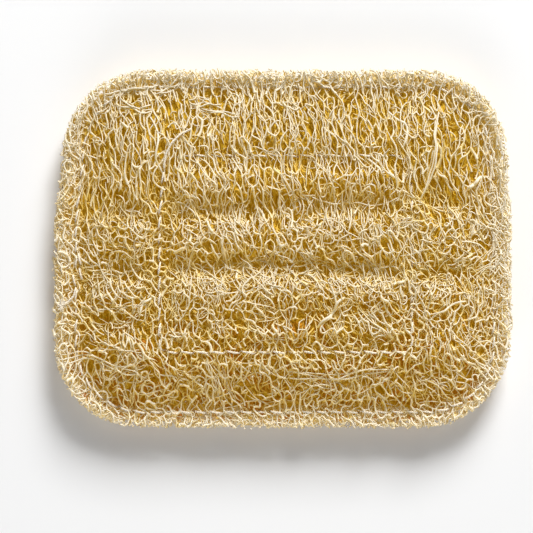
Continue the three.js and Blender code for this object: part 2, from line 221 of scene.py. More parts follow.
@dataclass(frozen=True)
class Hollow:
    """A pocket pressed into the upper face."""

    x: float
    y: float
    depth: float
    spread_x: float
    spread_y: float

    def sink(self, places: np.ndarray) -> np.ndarray:
        """Measure how far the pocket lowers the face at each place."""
        across = (places[..., 0] - self.x) / self.spread_x
        along = (places[..., 1] - self.y) / self.spread_y
        return self.depth * np.exp(-(across**2 + along**2))


@dataclass(frozen=True)
class PadShape:
    """The pad's form, on the same sizes as its solid."""

    length: float = 115.0
    width: float = 90.0
    thickness: float = 14.4
    rim_top: float = 8.4
    rim_bottom: float = 1.8
    rim_run: float = 4.0
    rim_round: float = 2.6
    rim_steepness: float = 0.8
    crown_run: float = 24.0
    # Painted shade: fibres in furrows and hollows count as deeper by this share of the sink, so they are
    # coloured darker.
    furrow_shade: float = 0.18
    # Painted light: within these distances of the cut edge fibres are fully, then partly, made paler.
    painted_rim_light_fully: float = 1.5
    painted_rim_light_partly: float = 8.5
    # Painted light: near the cut edge the depth that colours fibres is held low, so they stay pale.
    edge_shade: float = 0.8
    edge_depth: float = 0.4
    narrow_from: float = 4.0
    narrow_to: float = 26.0
    narrow_share: float = 0.025
    narrow_shift: float = 0.55
    seam_half_width: float = 0.95
    seam_reach: float = 5.5
    outer_top: float = 7.2
    outer_bottom: float = 1.9
    inner_top: float = 12.6
    inner_bottom: float = 1.9
    front_raised: Span = (12.0, 24.0)
    left_raised: Span = (24.0, 29.0)
    left_raised_to: Span = (-26.0, -18.0)
    outer_seam: RoundedBox = RoundedBox(left=-51.8, right=52.8, front=-41.0, back=40.4, radii=(17.0,) * 4)
    inner_seam: RoundedBox = RoundedBox(left=-30.7, right=32.0, front=-25.8, back=23.0, radii=(2.5,) * 4)
    outline: RoundedBox = RoundedBox(
        left=-57.5, right=57.5, front=-45.0, back=45.0, radii=(21.5, 22.0, 21.5, 23.0)
    )
    folds: tuple[Fold, ...] = (
        Fold(y=9.8, sway=0.8, turn=18.0, phase=0.0, depth=2.3, spread=3.3),
        Fold(y=-5.6, sway=0.9, turn=15.0, phase=2.1, depth=2.7, spread=3.2),
        Fold(y=-18.0, sway=1.5, turn=12.0, phase=0.7, depth=1.1, spread=3.2),
    )
    hollows: tuple[Hollow, ...] = (
        Hollow(x=38.5, y=14.0, depth=2.9, spread_x=4.2, spread_y=5.5),
        Hollow(x=38.0, y=-31.5, depth=2.3, spread_x=6.0, spread_y=4.0),
        Hollow(x=-28.0, y=-14.5, depth=1.6, spread_x=4.0, spread_y=4.0),
    )

    def seam_pull(self, seam: RoundedBox, places: np.ndarray) -> np.ndarray:
        """Measure how strongly a seam holds the pad at its own level."""
        return 1.0 - eased(np.abs(seam.depth(places)), self.seam_half_width, self.seam_reach)

    def upper(self, places: np.ndarray) -> np.ndarray:
        """Find the height of the upper face.

        Args:
            places: X and Y in the last axis.

        Returns:
            The height at each place.
        """
        inside = self.outer_seam.depth(places)
        full = np.full(inside.shape, self.thickness)
        for dent in (*self.folds, *self.hollows):
            full = full - dent.sink(places)
        run = np.clip((inside - self.seam_half_width) / self.crown_run, 0.0, 1.0)
        crowned = mixed(self.outer_top, full, np.sin(run * math.pi / 2))
        quilted = mixed(crowned, self.inner_top, self.seam_pull(self.inner_seam, places))
        rim = mixed(self.outer_top, self.rim_top, eased(-inside, self.seam_half_width, self.rim_run))
        turned = self.rim_drop(places) * (self.rim_top - self.rim_bottom) / 2
        return np.where(inside < 0, rim - turned, quilted)

    def lower(self, places: np.ndarray) -> np.ndarray:
        """Find the height of the lower face, which lies flat between the seams."""
        inside = self.outer_seam.depth(places)
        rim = mixed(self.outer_bottom, self.rim_bottom, np.clip(-inside / self.rim_run, 0.0, 1.0))
        outer = self.outer_bottom * (1.0 - eased(inside, self.seam_half_width, self.seam_reach))
        inner = self.inner_bottom * self.seam_pull(self.inner_seam, places)
        turned = self.rim_drop(places) * (self.rim_top - self.rim_bottom) / 2
        return np.where(inside < 0, rim + turned, np.maximum(outer, inner))

    def rim_drop(self, places: np.ndarray) -> np.ndarray:
        """Measure how far the face has turned down towards the cut edge, from 0 to 1."""
        near = np.clip(1.0 - self.outline.depth(places) / self.rim_round, 0.0, 1.0)
        return 1.0 - np.sqrt(1.0 - self.rim_steepness * near**2)

    def narrowed(self, points: np.ndarray) -> np.ndarray:
        """Carry points on the evenly wide pad to the pad that narrows towards its back.

        Args:
            points: X, Y and Z in the last axis.

        Returns:
            The points, with X changed.
        """
        share = eased(points[..., 1], self.narrow_from, self.narrow_to)
        moved = points.copy()
        moved[..., 0] = points[..., 0] * (1.0 - self.narrow_share * share) + self.narrow_shift * share
        return moved

    def evened(self, places: np.ndarray) -> np.ndarray:
        """Carry places seen on the narrowing pad back to the evenly wide one."""
        share = eased(places[..., 1], self.narrow_from, self.narrow_to)
        moved = places.copy()
        moved[..., 0] = (places[..., 0] - self.narrow_shift * share) / (1.0 - self.narrow_share * share)
        return moved

    def stitched(self, places: np.ndarray) -> np.ndarray:
        """Measure how strongly the nearer seam holds a place."""
        return np.maximum(self.seam_pull(self.outer_seam, places), self.seam_pull(self.inner_seam, places))

    def under_stitches(self, places: np.ndarray) -> np.ndarray:
        """Measure how much a place lies under the stitches that stay on top of the net."""
        return self.stitched(places) * self.raised(places)

    def raised(self, places: np.ndarray) -> np.ndarray:
        """Measure how much the stitches stand on the net: fully at the front and down the left side."""
        front = eased(-places[..., 1], *self.front_raised)
        left = eased(-places[..., 0], *self.left_raised) * eased(-places[..., 1], *self.left_raised_to)
        return np.maximum(front, left)

    def rimward(self, places: np.ndarray) -> np.ndarray:
        """Measure how near the cut edge a place is, from 0 well inside to 1 at the edge, which sets the
        painted light there.
        """
        return 1.0 - eased(self.outline.depth(places), self.painted_rim_light_fully, self.painted_rim_light_partly)

    def buried(self, points: np.ndarray) -> np.ndarray:
        """Measure how deep points lie in the net, from its faces and its cut edge, with painted shade added
        in furrows and hollows.

        Args:
            points: X, Y and Z in the last axis.

        Returns:
            The depth of each point, 0 at the surface.
        """
        places = points[..., :2]
        under = self.upper(places) - points[..., 2]
        over = points[..., 2] - self.lower(places)
        inside = self.outline.depth(places) * self.edge_shade + self.edge_depth
        sunk = sum(dent.sink(places) for dent in (*self.folds, *self.hollows))
        # Painted shade in the furrows and hollows of the upper face.
        shaded = self.furrow_shade * sunk * (under < over)
        return np.maximum(0.0, np.minimum(np.minimum(under, over) + shaded, inside))


def edge_mesh(
    name: str, points: np.ndarray, edges: list[Sequence[int]], values: Mapping[str, np.ndarray]
) -> bpy.types.Mesh:
    """Make a mesh of bare edges, with numbers on its points.

    Args:
        name: The mesh's name.
        points: Its points, in millimetres.
        edges: The two points of each edge.
        values: The numbers, by the name of their attribute.

    Returns:
        The mesh, in metres.
    """
    made = bpy.data.meshes.new(name)
    made.from_pydata((points * MM).tolist(), edges, [])
    for attribute, numbers in values.items():
        layer = made.attributes.new(attribute, "FLOAT", "POINT")
        layer.data.foreach_set("value", numbers.astype(np.float32))
    return made


@dataclass
class FibreBundle:
    """Fibres of one piece, each a line of points with its own thickness and tint."""

    shape: PadShape
    lines: list[np.ndarray] = field(default_factory=list)
    radii: list[np.ndarray] = field(default_factory=list)
    tints: list[np.ndarray] = field(default_factory=list)

    def add(self, points: np.ndarray, radii: np.ndarray, tints: np.ndarray) -> None:
        """Add fibres that have the same number of points.

        Args:
            points: Fibre, point and X, Y, Z.
            radii: Fibre and point.
            tints: One number from 0 to 1 for each fibre.
        """
        self.lines.append(points)
        self.radii.append(radii)
        self.tints.append(np.repeat(tints[:, None], points.shape[1], axis=1))

    def mesh(self, name: str) -> bpy.types.Mesh:
        """Make a mesh of bare edges, one chain for each fibre.

        Args:
            name: The mesh's name.

        Returns:
            The mesh, in metres, with radius, depth, rim and tint on its points.
        """
        edges = []
        start = 0
        for group in self.lines:
            count, steps, _ = group.shape
            first = start + np.arange(count)[:, None] * steps + np.arange(steps - 1)[None, :]
            edges.append(np.stack([first, first + 1], axis=-1).reshape(-1, 2))
            start += count * steps
        points = np.concatenate([group.reshape(-1, 3) for group in self.lines])
        values = {
            "radius": np.concatenate([group.ravel() for group in self.radii]) * MM,
            "depth": self.shape.buried(points),
            "rim": self.shape.rimward(points[:, :2]),
            "tint": np.concatenate([group.ravel() for group in self.tints]),
        }
        return edge_mesh(name, self.shape.narrowed(points), np.concatenate(edges).tolist(), values)


class NodeSheet:
    """A node tree that is filled from the script."""

    def __init__(self, tree: bpy.types.NodeTree) -> None:
        """Start on an empty tree."""
        self.tree = tree
        tree.nodes.clear()

    def node(
        self,
        kind: str,
        settings: Mapping[str, Any] | None = None,
        inputs: Mapping[Any, Any] | None = None,
    ) -> bpy.types.Node:
        """Add a node.

        Args:
            kind: The node's type.
            settings: Its own properties, set first.
            inputs: Values, sockets or wires by the input's name or number.

        Returns:
            The node.
        """
        made = self.tree.nodes.new(kind)
        for key, value in (settings or {}).items():
            setattr(made, key, value)
        for key, value in (inputs or {}).items():
            self.feed(made.inputs[key], value)
        return made

    def feed(self, socket: bpy.types.NodeSocket, value: Any) -> None:
        """Link a wire or socket to an input, or set the input's value."""
        source = value.socket if isinstance(value, Wire) else value
        if isinstance(source, bpy.types.NodeSocket):
            self.tree.links.new(source, socket)
        else:
            socket.default_value = source

    def vector(self, operation: str, first: Any, second: Any) -> "Wire":
        """Add a Vector Math node.

        Args:
            operation: What it does.
            first: A vector.
            second: Another vector, or the number that SCALE multiplies by.

        Returns:
            The vector, or the number that DOT_PRODUCT gives.
        """
        inputs = {0: first, "Scale" if operation == "SCALE" else 1: second}
        made = self.node("ShaderNodeVectorMath", {"operation": operation}, inputs)
        return Wire(self, made.outputs["Value" if operation == "DOT_PRODUCT" else "Vector"])

    def mixed(self, factor: Any, first: Any, second: Any) -> "Wire":
        """Add a Mix node that goes from one colour to another by a factor."""
        inputs = {"Factor": factor, "A": first, "B": second}
        return Wire(self, self.node("ShaderNodeMix", {"data_type": "RGBA"}, inputs).outputs["Result"])

    def noise(self, place: Any, scale: float, detail: float = 1.0) -> "Wire":
        """Add a noise on a place, which strays about the middle of 0 and 1."""
        inputs = {"Vector": place, "Scale": scale, "Detail": detail}
        return Wire(self, self.node("ShaderNodeTexNoise", inputs=inputs).outputs["Fac"])

    def bumped(self, height: Any, strength: float) -> bpy.types.NodeSocket:
        """Add a Bump node."""
        inputs = {"Strength": strength, "Distance": BUMP_HEIGHT * MM, "Height": height}
        return self.node("ShaderNodeBump", inputs=inputs).outputs[0]

    def surface(self, values: Mapping[str, Any]) -> None:
        """Add the Principled shader with the given inputs, and send it out."""
        shader = self.node("ShaderNodeBsdfPrincipled", inputs=values)
        self.node("ShaderNodeOutputMaterial", inputs={"Surface": shader.outputs[0]})

    def ramp(self, factor: Any, stops: Sequence[tuple[float, Sequence[float]]]) -> "Wire":
        """Add a colour ramp.

        Args:
            factor: What drives it.
            stops: Places and colours, in order.

        Returns:
            The colour.
        """
        made = self.node("ShaderNodeValToRGB", inputs={"Fac": factor})
        elements = made.color_ramp.elements
        while len(elements) < len(stops):
            elements.new(0.5)
        for element, (place, colour) in zip(elements, stops):
            element.position = place
            element.color = (*colour, 1.0)
        return Wire(self, made.outputs["Color"])


class Wire:
    """A socket that takes part in expressions on values."""

    def __init__(self, sheet: NodeSheet, socket: bpy.types.NodeSocket) -> None:
        """Wrap a socket of a sheet."""
        self.sheet = sheet
        self.socket = socket

    def _joined(self, operation: str, *values: Any) -> "Wire":
        """Add a Math node on the given values."""
        inputs = dict(enumerate(values))
        made = self.sheet.node("ShaderNodeMath", {"operation": operation}, inputs)
        return Wire(self.sheet, made.outputs[0])

    def __add__(self, other: Any) -> "Wire":
        """Add."""
        return self._joined("ADD", self, other)

    __radd__ = __add__

    def __sub__(self, other: Any) -> "Wire":
        """Subtract."""
        return self._joined("SUBTRACT", self, other)

    def __rsub__(self, other: Any) -> "Wire":
        """Subtract from a value."""
        return self._joined("SUBTRACT", other, self)

    def __mul__(self, other: Any) -> "Wire":
        """Multiply."""
        return self._joined("MULTIPLY", self, other)

    __rmul__ = __mul__

    def __truediv__(self, other: Any) -> "Wire":
        """Divide."""
        return self._joined("DIVIDE", self, other)

    def __mod__(self, other: Any) -> "Wire":
        """Keep the rest after whole turns."""
        return self._joined("FLOORED_MODULO", self, other)

    def at_least(self, other: Any) -> "Wire":
        """Keep the larger value."""
        return self._joined("MAXIMUM", self, other)

    def floored(self) -> "Wire":
        """Round down."""
        return self._joined("FLOOR", self)

    def size(self) -> "Wire":
        """Drop the sign."""
        return self._joined("ABSOLUTE", self)

    def clamped(self) -> "Wire":
        """Keep the value between 0 and 1."""
        made = self._joined("ADD", self, 0.0)
        made.socket.node.use_clamp = True
        return made

    def sine(self) -> "Wire":
        """Take the sine."""
        return self._joined("SINE", self)

    def cosine(self) -> "Wire":
        """Take the cosine."""
        return self._joined("COSINE", self)


@dataclass(frozen=True)
class Input:
    """A named input of a Geometry Nodes tree."""

    name: str
    kind: str
    value: Any = None


class GrowthTree:
    """A Geometry Nodes tree that turns lines into finished pieces."""

    def __init__(self, name: str, inputs: Sequence[Input]) -> None:
        """Make the tree with its inputs."""
        self.tree = bpy.data.node_groups.new(name, "GeometryNodeTree")
        self.sheet = NodeSheet(self.tree)
        face = self.tree.interface
        face.new_socket("Geometry", in_out="INPUT", socket_type="NodeSocketGeometry")
        self.identifiers: dict[str, str] = {}
        for given in inputs:
            socket = face.new_socket(given.name, in_out="INPUT", socket_type=given.kind)
            if given.value is not None:
                socket.default_value = given.value
            self.identifiers[given.name] = socket.identifier
        face.new_socket("Geometry", in_out="OUTPUT", socket_type="NodeSocketGeometry")
        self.entry = self.sheet.node("NodeGroupInput")
        self.lay()

    def lay(self) -> None:
        """Fill the tree. Each kind of tree does this its own way."""
        raise NotImplementedError

    def given(self, name: str) -> Wire:
        """Find one of the tree's inputs."""
        return Wire(self.sheet, self.entry.outputs[name])

    def attribute(self, name: str) -> Wire:
        """Read a number that the points carry."""
        made = self.sheet.node("GeometryNodeInputNamedAttribute", inputs={"Name": name})
        return Wire(self.sheet, made.outputs["Attribute"])

    def set_off(self, curve: Any, **moves: Any) -> bpy.types.NodeSocket:
        """Move a curve's points, to a Position or by an Offset."""
        inputs = {"Geometry": curve, **moves}
        return self.sheet.node("GeometryNodeSetPosition", inputs=inputs).outputs[0]

    def swept(self, curve: Any, radius: Wire) -> bpy.types.NodeSocket:
        """Sweep a round section of the given radius along a curve, with its ends closed."""
        circle = {"Resolution": self.given("Sides"), "Radius": 1.0}
        section = self.sheet.node("GeometryNodeCurvePrimitiveCircle", inputs=circle).outputs[0]
        inputs = {"Curve": curve, "Profile Curve": section, "Scale": radius, "Fill Caps": True}
        return self.sheet.node("GeometryNodeCurveToMesh", inputs=inputs).outputs[0]

    def end(self, geometry: Any) -> None:
        """Make the geometry real and smooth, give it its material and send it out."""
        sheet = self.sheet
        real = sheet.node("GeometryNodeRealizeInstances", inputs={"Geometry": geometry})
        smooth = sheet.node("GeometryNodeSetShadeSmooth", inputs={"Geometry": real.outputs[0]})
        coated = sheet.node(
            "GeometryNodeSetMaterial",
            inputs={"Geometry": smooth.outputs[0], "Material": self.given("Material")},
        )
        sheet.node("NodeGroupOutput", inputs={"Geometry": coated.outputs[0]})

    def grow(self, mesh: bpy.types.Mesh, values: Mapping[str, Any]) -> bpy.types.Object:
        """Run the tree on a mesh and keep the result as a plain mesh.

        Args:
            mesh: The lines to start from, whose name the piece takes.
            values: The tree's inputs by name.

        Returns:
            The finished object, with no modifier on it.
        """
        name = mesh.name
        seed = bpy.data.objects.new(name, mesh)
        bpy.context.scene.collection.objects.link(seed)
        modifier = seed.modifiers.new("growth", "NODES")
        modifier.node_group = self.tree
        for key, value in values.items():
            modifier[self.identifiers[key]] = value
        graph = bpy.context.evaluated_depsgraph_get()
        grown = bpy.data.meshes.new_from_object(seed.evaluated_get(graph))
        seed.modifiers.remove(modifier)
        seed.data = grown
        bpy.data.meshes.remove(mesh)
        grown.name = name
        return seed


class FibreTree(GrowthTree):
    """Gives lines of points the body of plant fibres."""

    noise_gain: float = 4.0

    def __init__(self) -> None:
        """Make the tree with the fibres' inputs."""
        super().__init__(
            "fibre_growth",
            (
                Input("Sides", "NodeSocketInt", 4),
                Input("Wander", "NodeSocketFloat", 0.0002),
                Input("Turns", "NodeSocketFloat", 300.0),
                Input("Seed", "NodeSocketFloat", 1.0),
                Input("Material", "NodeSocketMaterial"),
            ),
        )

    def lay(self) -> None:
        """Bend each line a little, keep it above the floor and sweep its section along it."""
        sheet = self.sheet
        lines = sheet.node("GeometryNodeMeshToCurve", inputs={"Mesh": self.given("Geometry")})
        place = sheet.node("GeometryNodeInputPosition").outputs[0]
        noise = sheet.node(
            "ShaderNodeTexNoise",
            {"noise_dimensions": "4D"},
            {"Vector": place, "W": self.given("Seed"), "Scale": self.given("Turns"), "Detail": 1.0},
        )
        centred = sheet.vector("SUBTRACT", noise.outputs["Color"], (0.5, 0.5, 0.5))
        bend = sheet.vector("SCALE", centred, self.given("Wander") * self.noise_gain)
        moved = sheet.vector("ADD", place, bend)
        parts = sheet.node("ShaderNodeSeparateXYZ", inputs={0: moved}).outputs
        radius = self.attribute("radius")
        height = Wire(sheet, parts["Z"]).at_least(radius)
        held = sheet.node("ShaderNodeCombineXYZ", inputs={"X": parts["X"], "Y": parts["Y"], "Z": height})
        self.end(self.swept(self.set_off(lines.outputs[0], Position=held.outputs[0]), radius))


class ThreadTree(GrowthTree):
    """Lays plied cotton along a seam, with a stitch that dips into the pad at each end."""

    stitch_profile: Route = (
        (0.1, 0.35),
        (0.2, 0.8),
        (0.32, 1.0),
        (0.68, 1.0),
        (0.8, 0.8),
        (0.9, 0.35),
    )
    ply_overlap: float = 0.95

    def __init__(self, plies: int = 3) -> None:
        """Make the tree with the thread's inputs."""
        self.plies = plies
        super().__init__(
            "seam_thread",
            (
                Input("Stitch", "NodeSocketFloat", 0.0038),
                Input("Dip", "NodeSocketFloat", 0.003),
                Input("Unevenness", "NodeSocketFloat", 0.5),
                Input("Lean", "NodeSocketFloat", 0.0006),
                Input("Ply Radius", "NodeSocketFloat", 0.0002),
                Input("Twist", "NodeSocketFloat", 0.0016),
                Input("Step", "NodeSocketFloat", 0.00038),
                Input("Sides", "NodeSocketInt", 4),
                Input("Material", "NodeSocketMaterial"),
            ),
        )

    def lay(self) -> None:
        """Resample the seam, sink it between stitches and wind the plies round it."""
        sheet = self.sheet
        line = sheet.node("GeometryNodeMeshToCurve", inputs={"Mesh": self.given("Geometry")})
        even = sheet.node(
            "GeometryNodeResampleCurve",
            {"mode": "LENGTH"},
            {"Curve": line.outputs[0], "Length": self.given("Step")},
        )
        run = Wire(sheet, sheet.node("GeometryNodeSplineParameter").outputs["Length"])
        seam_run, stitch, sewn = self.attribute("run"), self.given("Stitch"), self.attribute("sewn")
        phase = (seam_run % stitch) / stitch
        level = sheet.node("ShaderNodeFloatCurve", inputs={"Value": phase})
        points = level.mapping.curves[0].points
        for end in (0, 1):
            points[end].location = (end, 0.0)
        for place, height in self.stitch_profile:
            points.new(place, height)
        level.mapping.update()
        tension = sheet.node(
            "ShaderNodeTexWhiteNoise", {"noise_dimensions": "1D"}, {"W": (seam_run / stitch).floored()}
        )
        slack = (1.0 - Wire(sheet, tension.outputs["Value"])) * self.given("Unevenness")
        sink = (1.0 - Wire(sheet, level.outputs[0]) + slack) * self.given("Dip") * sewn
        tangent = sheet.node("GeometryNodeInputTangent").outputs[0]
        sideways = sheet.vector("CROSS_PRODUCT", tangent, (0.0, 0.0, 1.0))
        leant = sheet.vector("SCALE", sideways, (phase - 0.5) * self.given("Lean") * sewn)
        down = sheet.node("ShaderNodeCombineXYZ", inputs={"Z": sink}).outputs[0]
        sunk = self.set_off(even.outputs[0], Offset=sheet.vector("ADD", leant, down))
        normal = sheet.node("GeometryNodeInputNormal").outputs[0]
        across = sheet.vector("CROSS_PRODUCT", tangent, normal)
        joined = sheet.node("GeometryNodeJoinGeometry")
        thick = self.given("Ply Radius") * self.attribute("girth")
        out = thick * self.ply_overlap
        for ply in range(self.plies):
            turn = run * (2 * math.pi) / self.given("Twist") + ply * 2 * math.pi / self.plies
            up = sheet.vector("SCALE", normal, turn.cosine() * out)
            beside = sheet.vector("SCALE", across, turn.sine() * out)
            wound = self.set_off(sunk, Offset=sheet.vector("ADD", up, beside))
            sheet.feed(joined.inputs[0], self.swept(wound, thick))
        self.end(joined.outputs[0])


@dataclass(frozen=True)
class FibreFinish:
    """Dry loofah fibre: cream at the surface, and painted shade makes it golden to brown where it is buried.

    The side that faces the key light is painted paler than the flanks, as painted light. A weak
    painted glow stands for the light that spreads through fibres as thin as these.
    """

    # Colours by depth for the sides that face the key light: painted shade turns buried fibres golden to
    # brown.
    crest: Colour = (0.69, 0.645, 0.54)
    near: Colour = (0.73, 0.63, 0.37)
    deep: Colour = (0.68, 0.49, 0.14)
    heart: Colour = (0.58, 0.37, 0.03)
    # Colours for the sides turned away from the key light: shaded copies of the colours above, as painted
    # shade.
    crest_flank: Colour = (0.73, 0.56, 0.225)
    near_flank: Colour = (0.72, 0.52, 0.13)
    deep_flank: Colour = (0.67, 0.46, 0.06)
    heart_flank: Colour = (0.57, 0.35, 0.015)
    shallow_glow: Colour = (0.95, 0.58, 0.04)
    deep_glow: Colour = (1.0, 0.54, 0.01)
    # Painted shade: dark red-brown in the deep gaps toward the front of the pad.
    gap_shade_red: Quad = (0.42, 0.09, 0.01, 1.0)
    steps: Quad = (0.05, 0.15, 0.29, 0.44)
    # Painted light: the way toward the key light; fibre sides that face it are painted paler.
    painted_light_toward: Colour = (0.12, 0.45, 0.88)
    darkest_depth: float = 4.5
    # Painted light at the cut edge: fibres there count as less buried, and are painted paler.
    rim_light: float = 0.65
    rim_painted_light: float = 0.12
    rim_painted_lit: float = 0.3
    painted_lit_from: float = 0.3
    painted_lit_gain: float = 1.7
    blotch_share: float = 0.16
    tint_share: float = 0.14
    fleck_share: float = 0.05
    gap_shade_depth: float = 1.3
    gap_shade_rarity: float = 0.46
    gap_shade_edge: float = 8.0
    gap_shade_share: float = 0.85
    front_per_metre: float = 42.0
    front_from: float = 0.15
    back_per_metre: float = 60.0
    # Painted shade: the back of the pad, whose slopes face the key light, is darkened by this share.
    back_painted_shade: float = 0.07
    glow_strength: float = 0.095
    roughness: float = 0.52
    roughness_share: float = 0.2
    gloss: float = 0.12
    relief: float = 0.35
    blotch_scale: float = 90.0
    gap_shade_scale: float = 320.0
    fleck_scale: float = 1400.0

    def make(self) -> bpy.types.Material:
        """Build the material.

        Returns:
            A material that reads the fibres' depth, rim and tint, and their place on the pad.
        """
        made = bpy.data.materials.new("loofah_fibre")
        made.use_nodes = True
        sheet = NodeSheet(made.node_tree)
        coordinates = sheet.node("ShaderNodeTexCoord").outputs
        place = coordinates["Object"]
        depth, rim, tint = (
            Wire(sheet, sheet.node("ShaderNodeAttribute", {"attribute_name": name}).outputs["Fac"])
            for name in ("depth", "rim", "tint")
        )
        fleck = sheet.noise(place, self.fleck_scale, detail=2.0)
        # Painted shade by depth, lessened near the cut edge as painted light.
        reached = depth * (1.0 - rim * self.rim_light) / self.darkest_depth
        mottled = (sheet.noise(place, self.blotch_scale, detail=2.0) - 0.5) * self.blotch_share
        buried = reached + mottled + (tint - 0.5) * self.tint_share + (fleck - 0.5) * self.fleck_share
        # Painted light: sides facing the key light take the pale colours, the others the painted-shade ones.
        facing_painted_light = sheet.vector("DOT_PRODUCT", coordinates["Normal"], self.painted_light_toward).size()
        painted_lit_side = ((facing_painted_light + rim * self.rim_painted_lit - self.painted_lit_from) * self.painted_lit_gain).clamped()
        crest_colours = (self.crest, self.near, self.deep, self.heart)
        crests = sheet.ramp(buried, tuple(zip(self.steps, crest_colours)))
        flank_colours = (self.crest_flank, self.near_flank, self.deep_flank, self.heart_flank)
        flanks = sheet.ramp(buried, tuple(zip(self.steps, flank_colours)))
        along = Wire(sheet, sheet.node("ShaderNodeSeparateXYZ", inputs={0: place}).outputs["Y"])
        front = (along * -self.front_per_metre - self.front_from).clamped()
        # Painted shade: dark red-brown patches on deep fibres toward the front.
        gap_shade_patches = ((sheet.noise(place, self.gap_shade_scale) - self.gap_shade_rarity) * self.gap_shade_edge).clamped()
        painted_gap_shade = (depth - self.gap_shade_depth).clamped() * front * gap_shade_patches * self.gap_shade_share
        lit_and_shaded_colour = sheet.mixed(painted_gap_shade, sheet.mixed(painted_lit_side, flanks, crests), self.gap_shade_red)
        # Painted shade at the back of the pad, and painted light at the cut edge.
        back = (along * self.back_per_metre - 1.0).clamped()
        painted_light_and_shade_colour = sheet.vector("SCALE", lit_and_shaded_colour, 1.0 - back * self.back_painted_shade + rim * self.rim_painted_light)
        glow = sheet.ramp(buried, ((self.steps[0], self.shallow_glow), (self.steps[-1], self.deep_glow)))
        sheet.surface(
            {
                "Base Color": painted_light_and_shade_colour,
                "Roughness": fleck * self.roughness_share + self.roughness,
                "Normal": sheet.bumped(fleck, self.relief),
                "Specular IOR Level": self.gloss,
                "Emission Color": glow,
                "Emission Strength": self.glow_strength,
            }
        )
        return made


@dataclass(frozen=True)
class ThreadFinish:
    """Off-white cotton sewing thread."""

    colour: Colour = (0.87, 0.79, 0.64)
    shade: Colour = (0.76, 0.65, 0.49)
    shade_at: float = 0.3
    colour_at: float = 0.6
    sheen: float = 0.12
    roughness: float = 0.7
    relief: float = 0.5
    fuzz_scale: float = 3000.0

    def make(self) -> bpy.types.Material:
        """Build the material."""
        made = bpy.data.materials.new("cotton_thread")
        made.use_nodes = True
        sheet = NodeSheet(made.node_tree)
        fuzz = sheet.noise(sheet.node("ShaderNodeTexCoord").outputs["Object"], self.fuzz_scale, detail=3.0)
        sheet.surface(
            {
                "Base Color": sheet.ramp(fuzz, ((self.shade_at, self.shade), (self.colour_at, self.colour))),
                "Roughness": self.roughness,
                "Normal": sheet.bumped(fuzz, self.relief),
                "Sheen Weight": self.sheen,
            }
        )
        return made


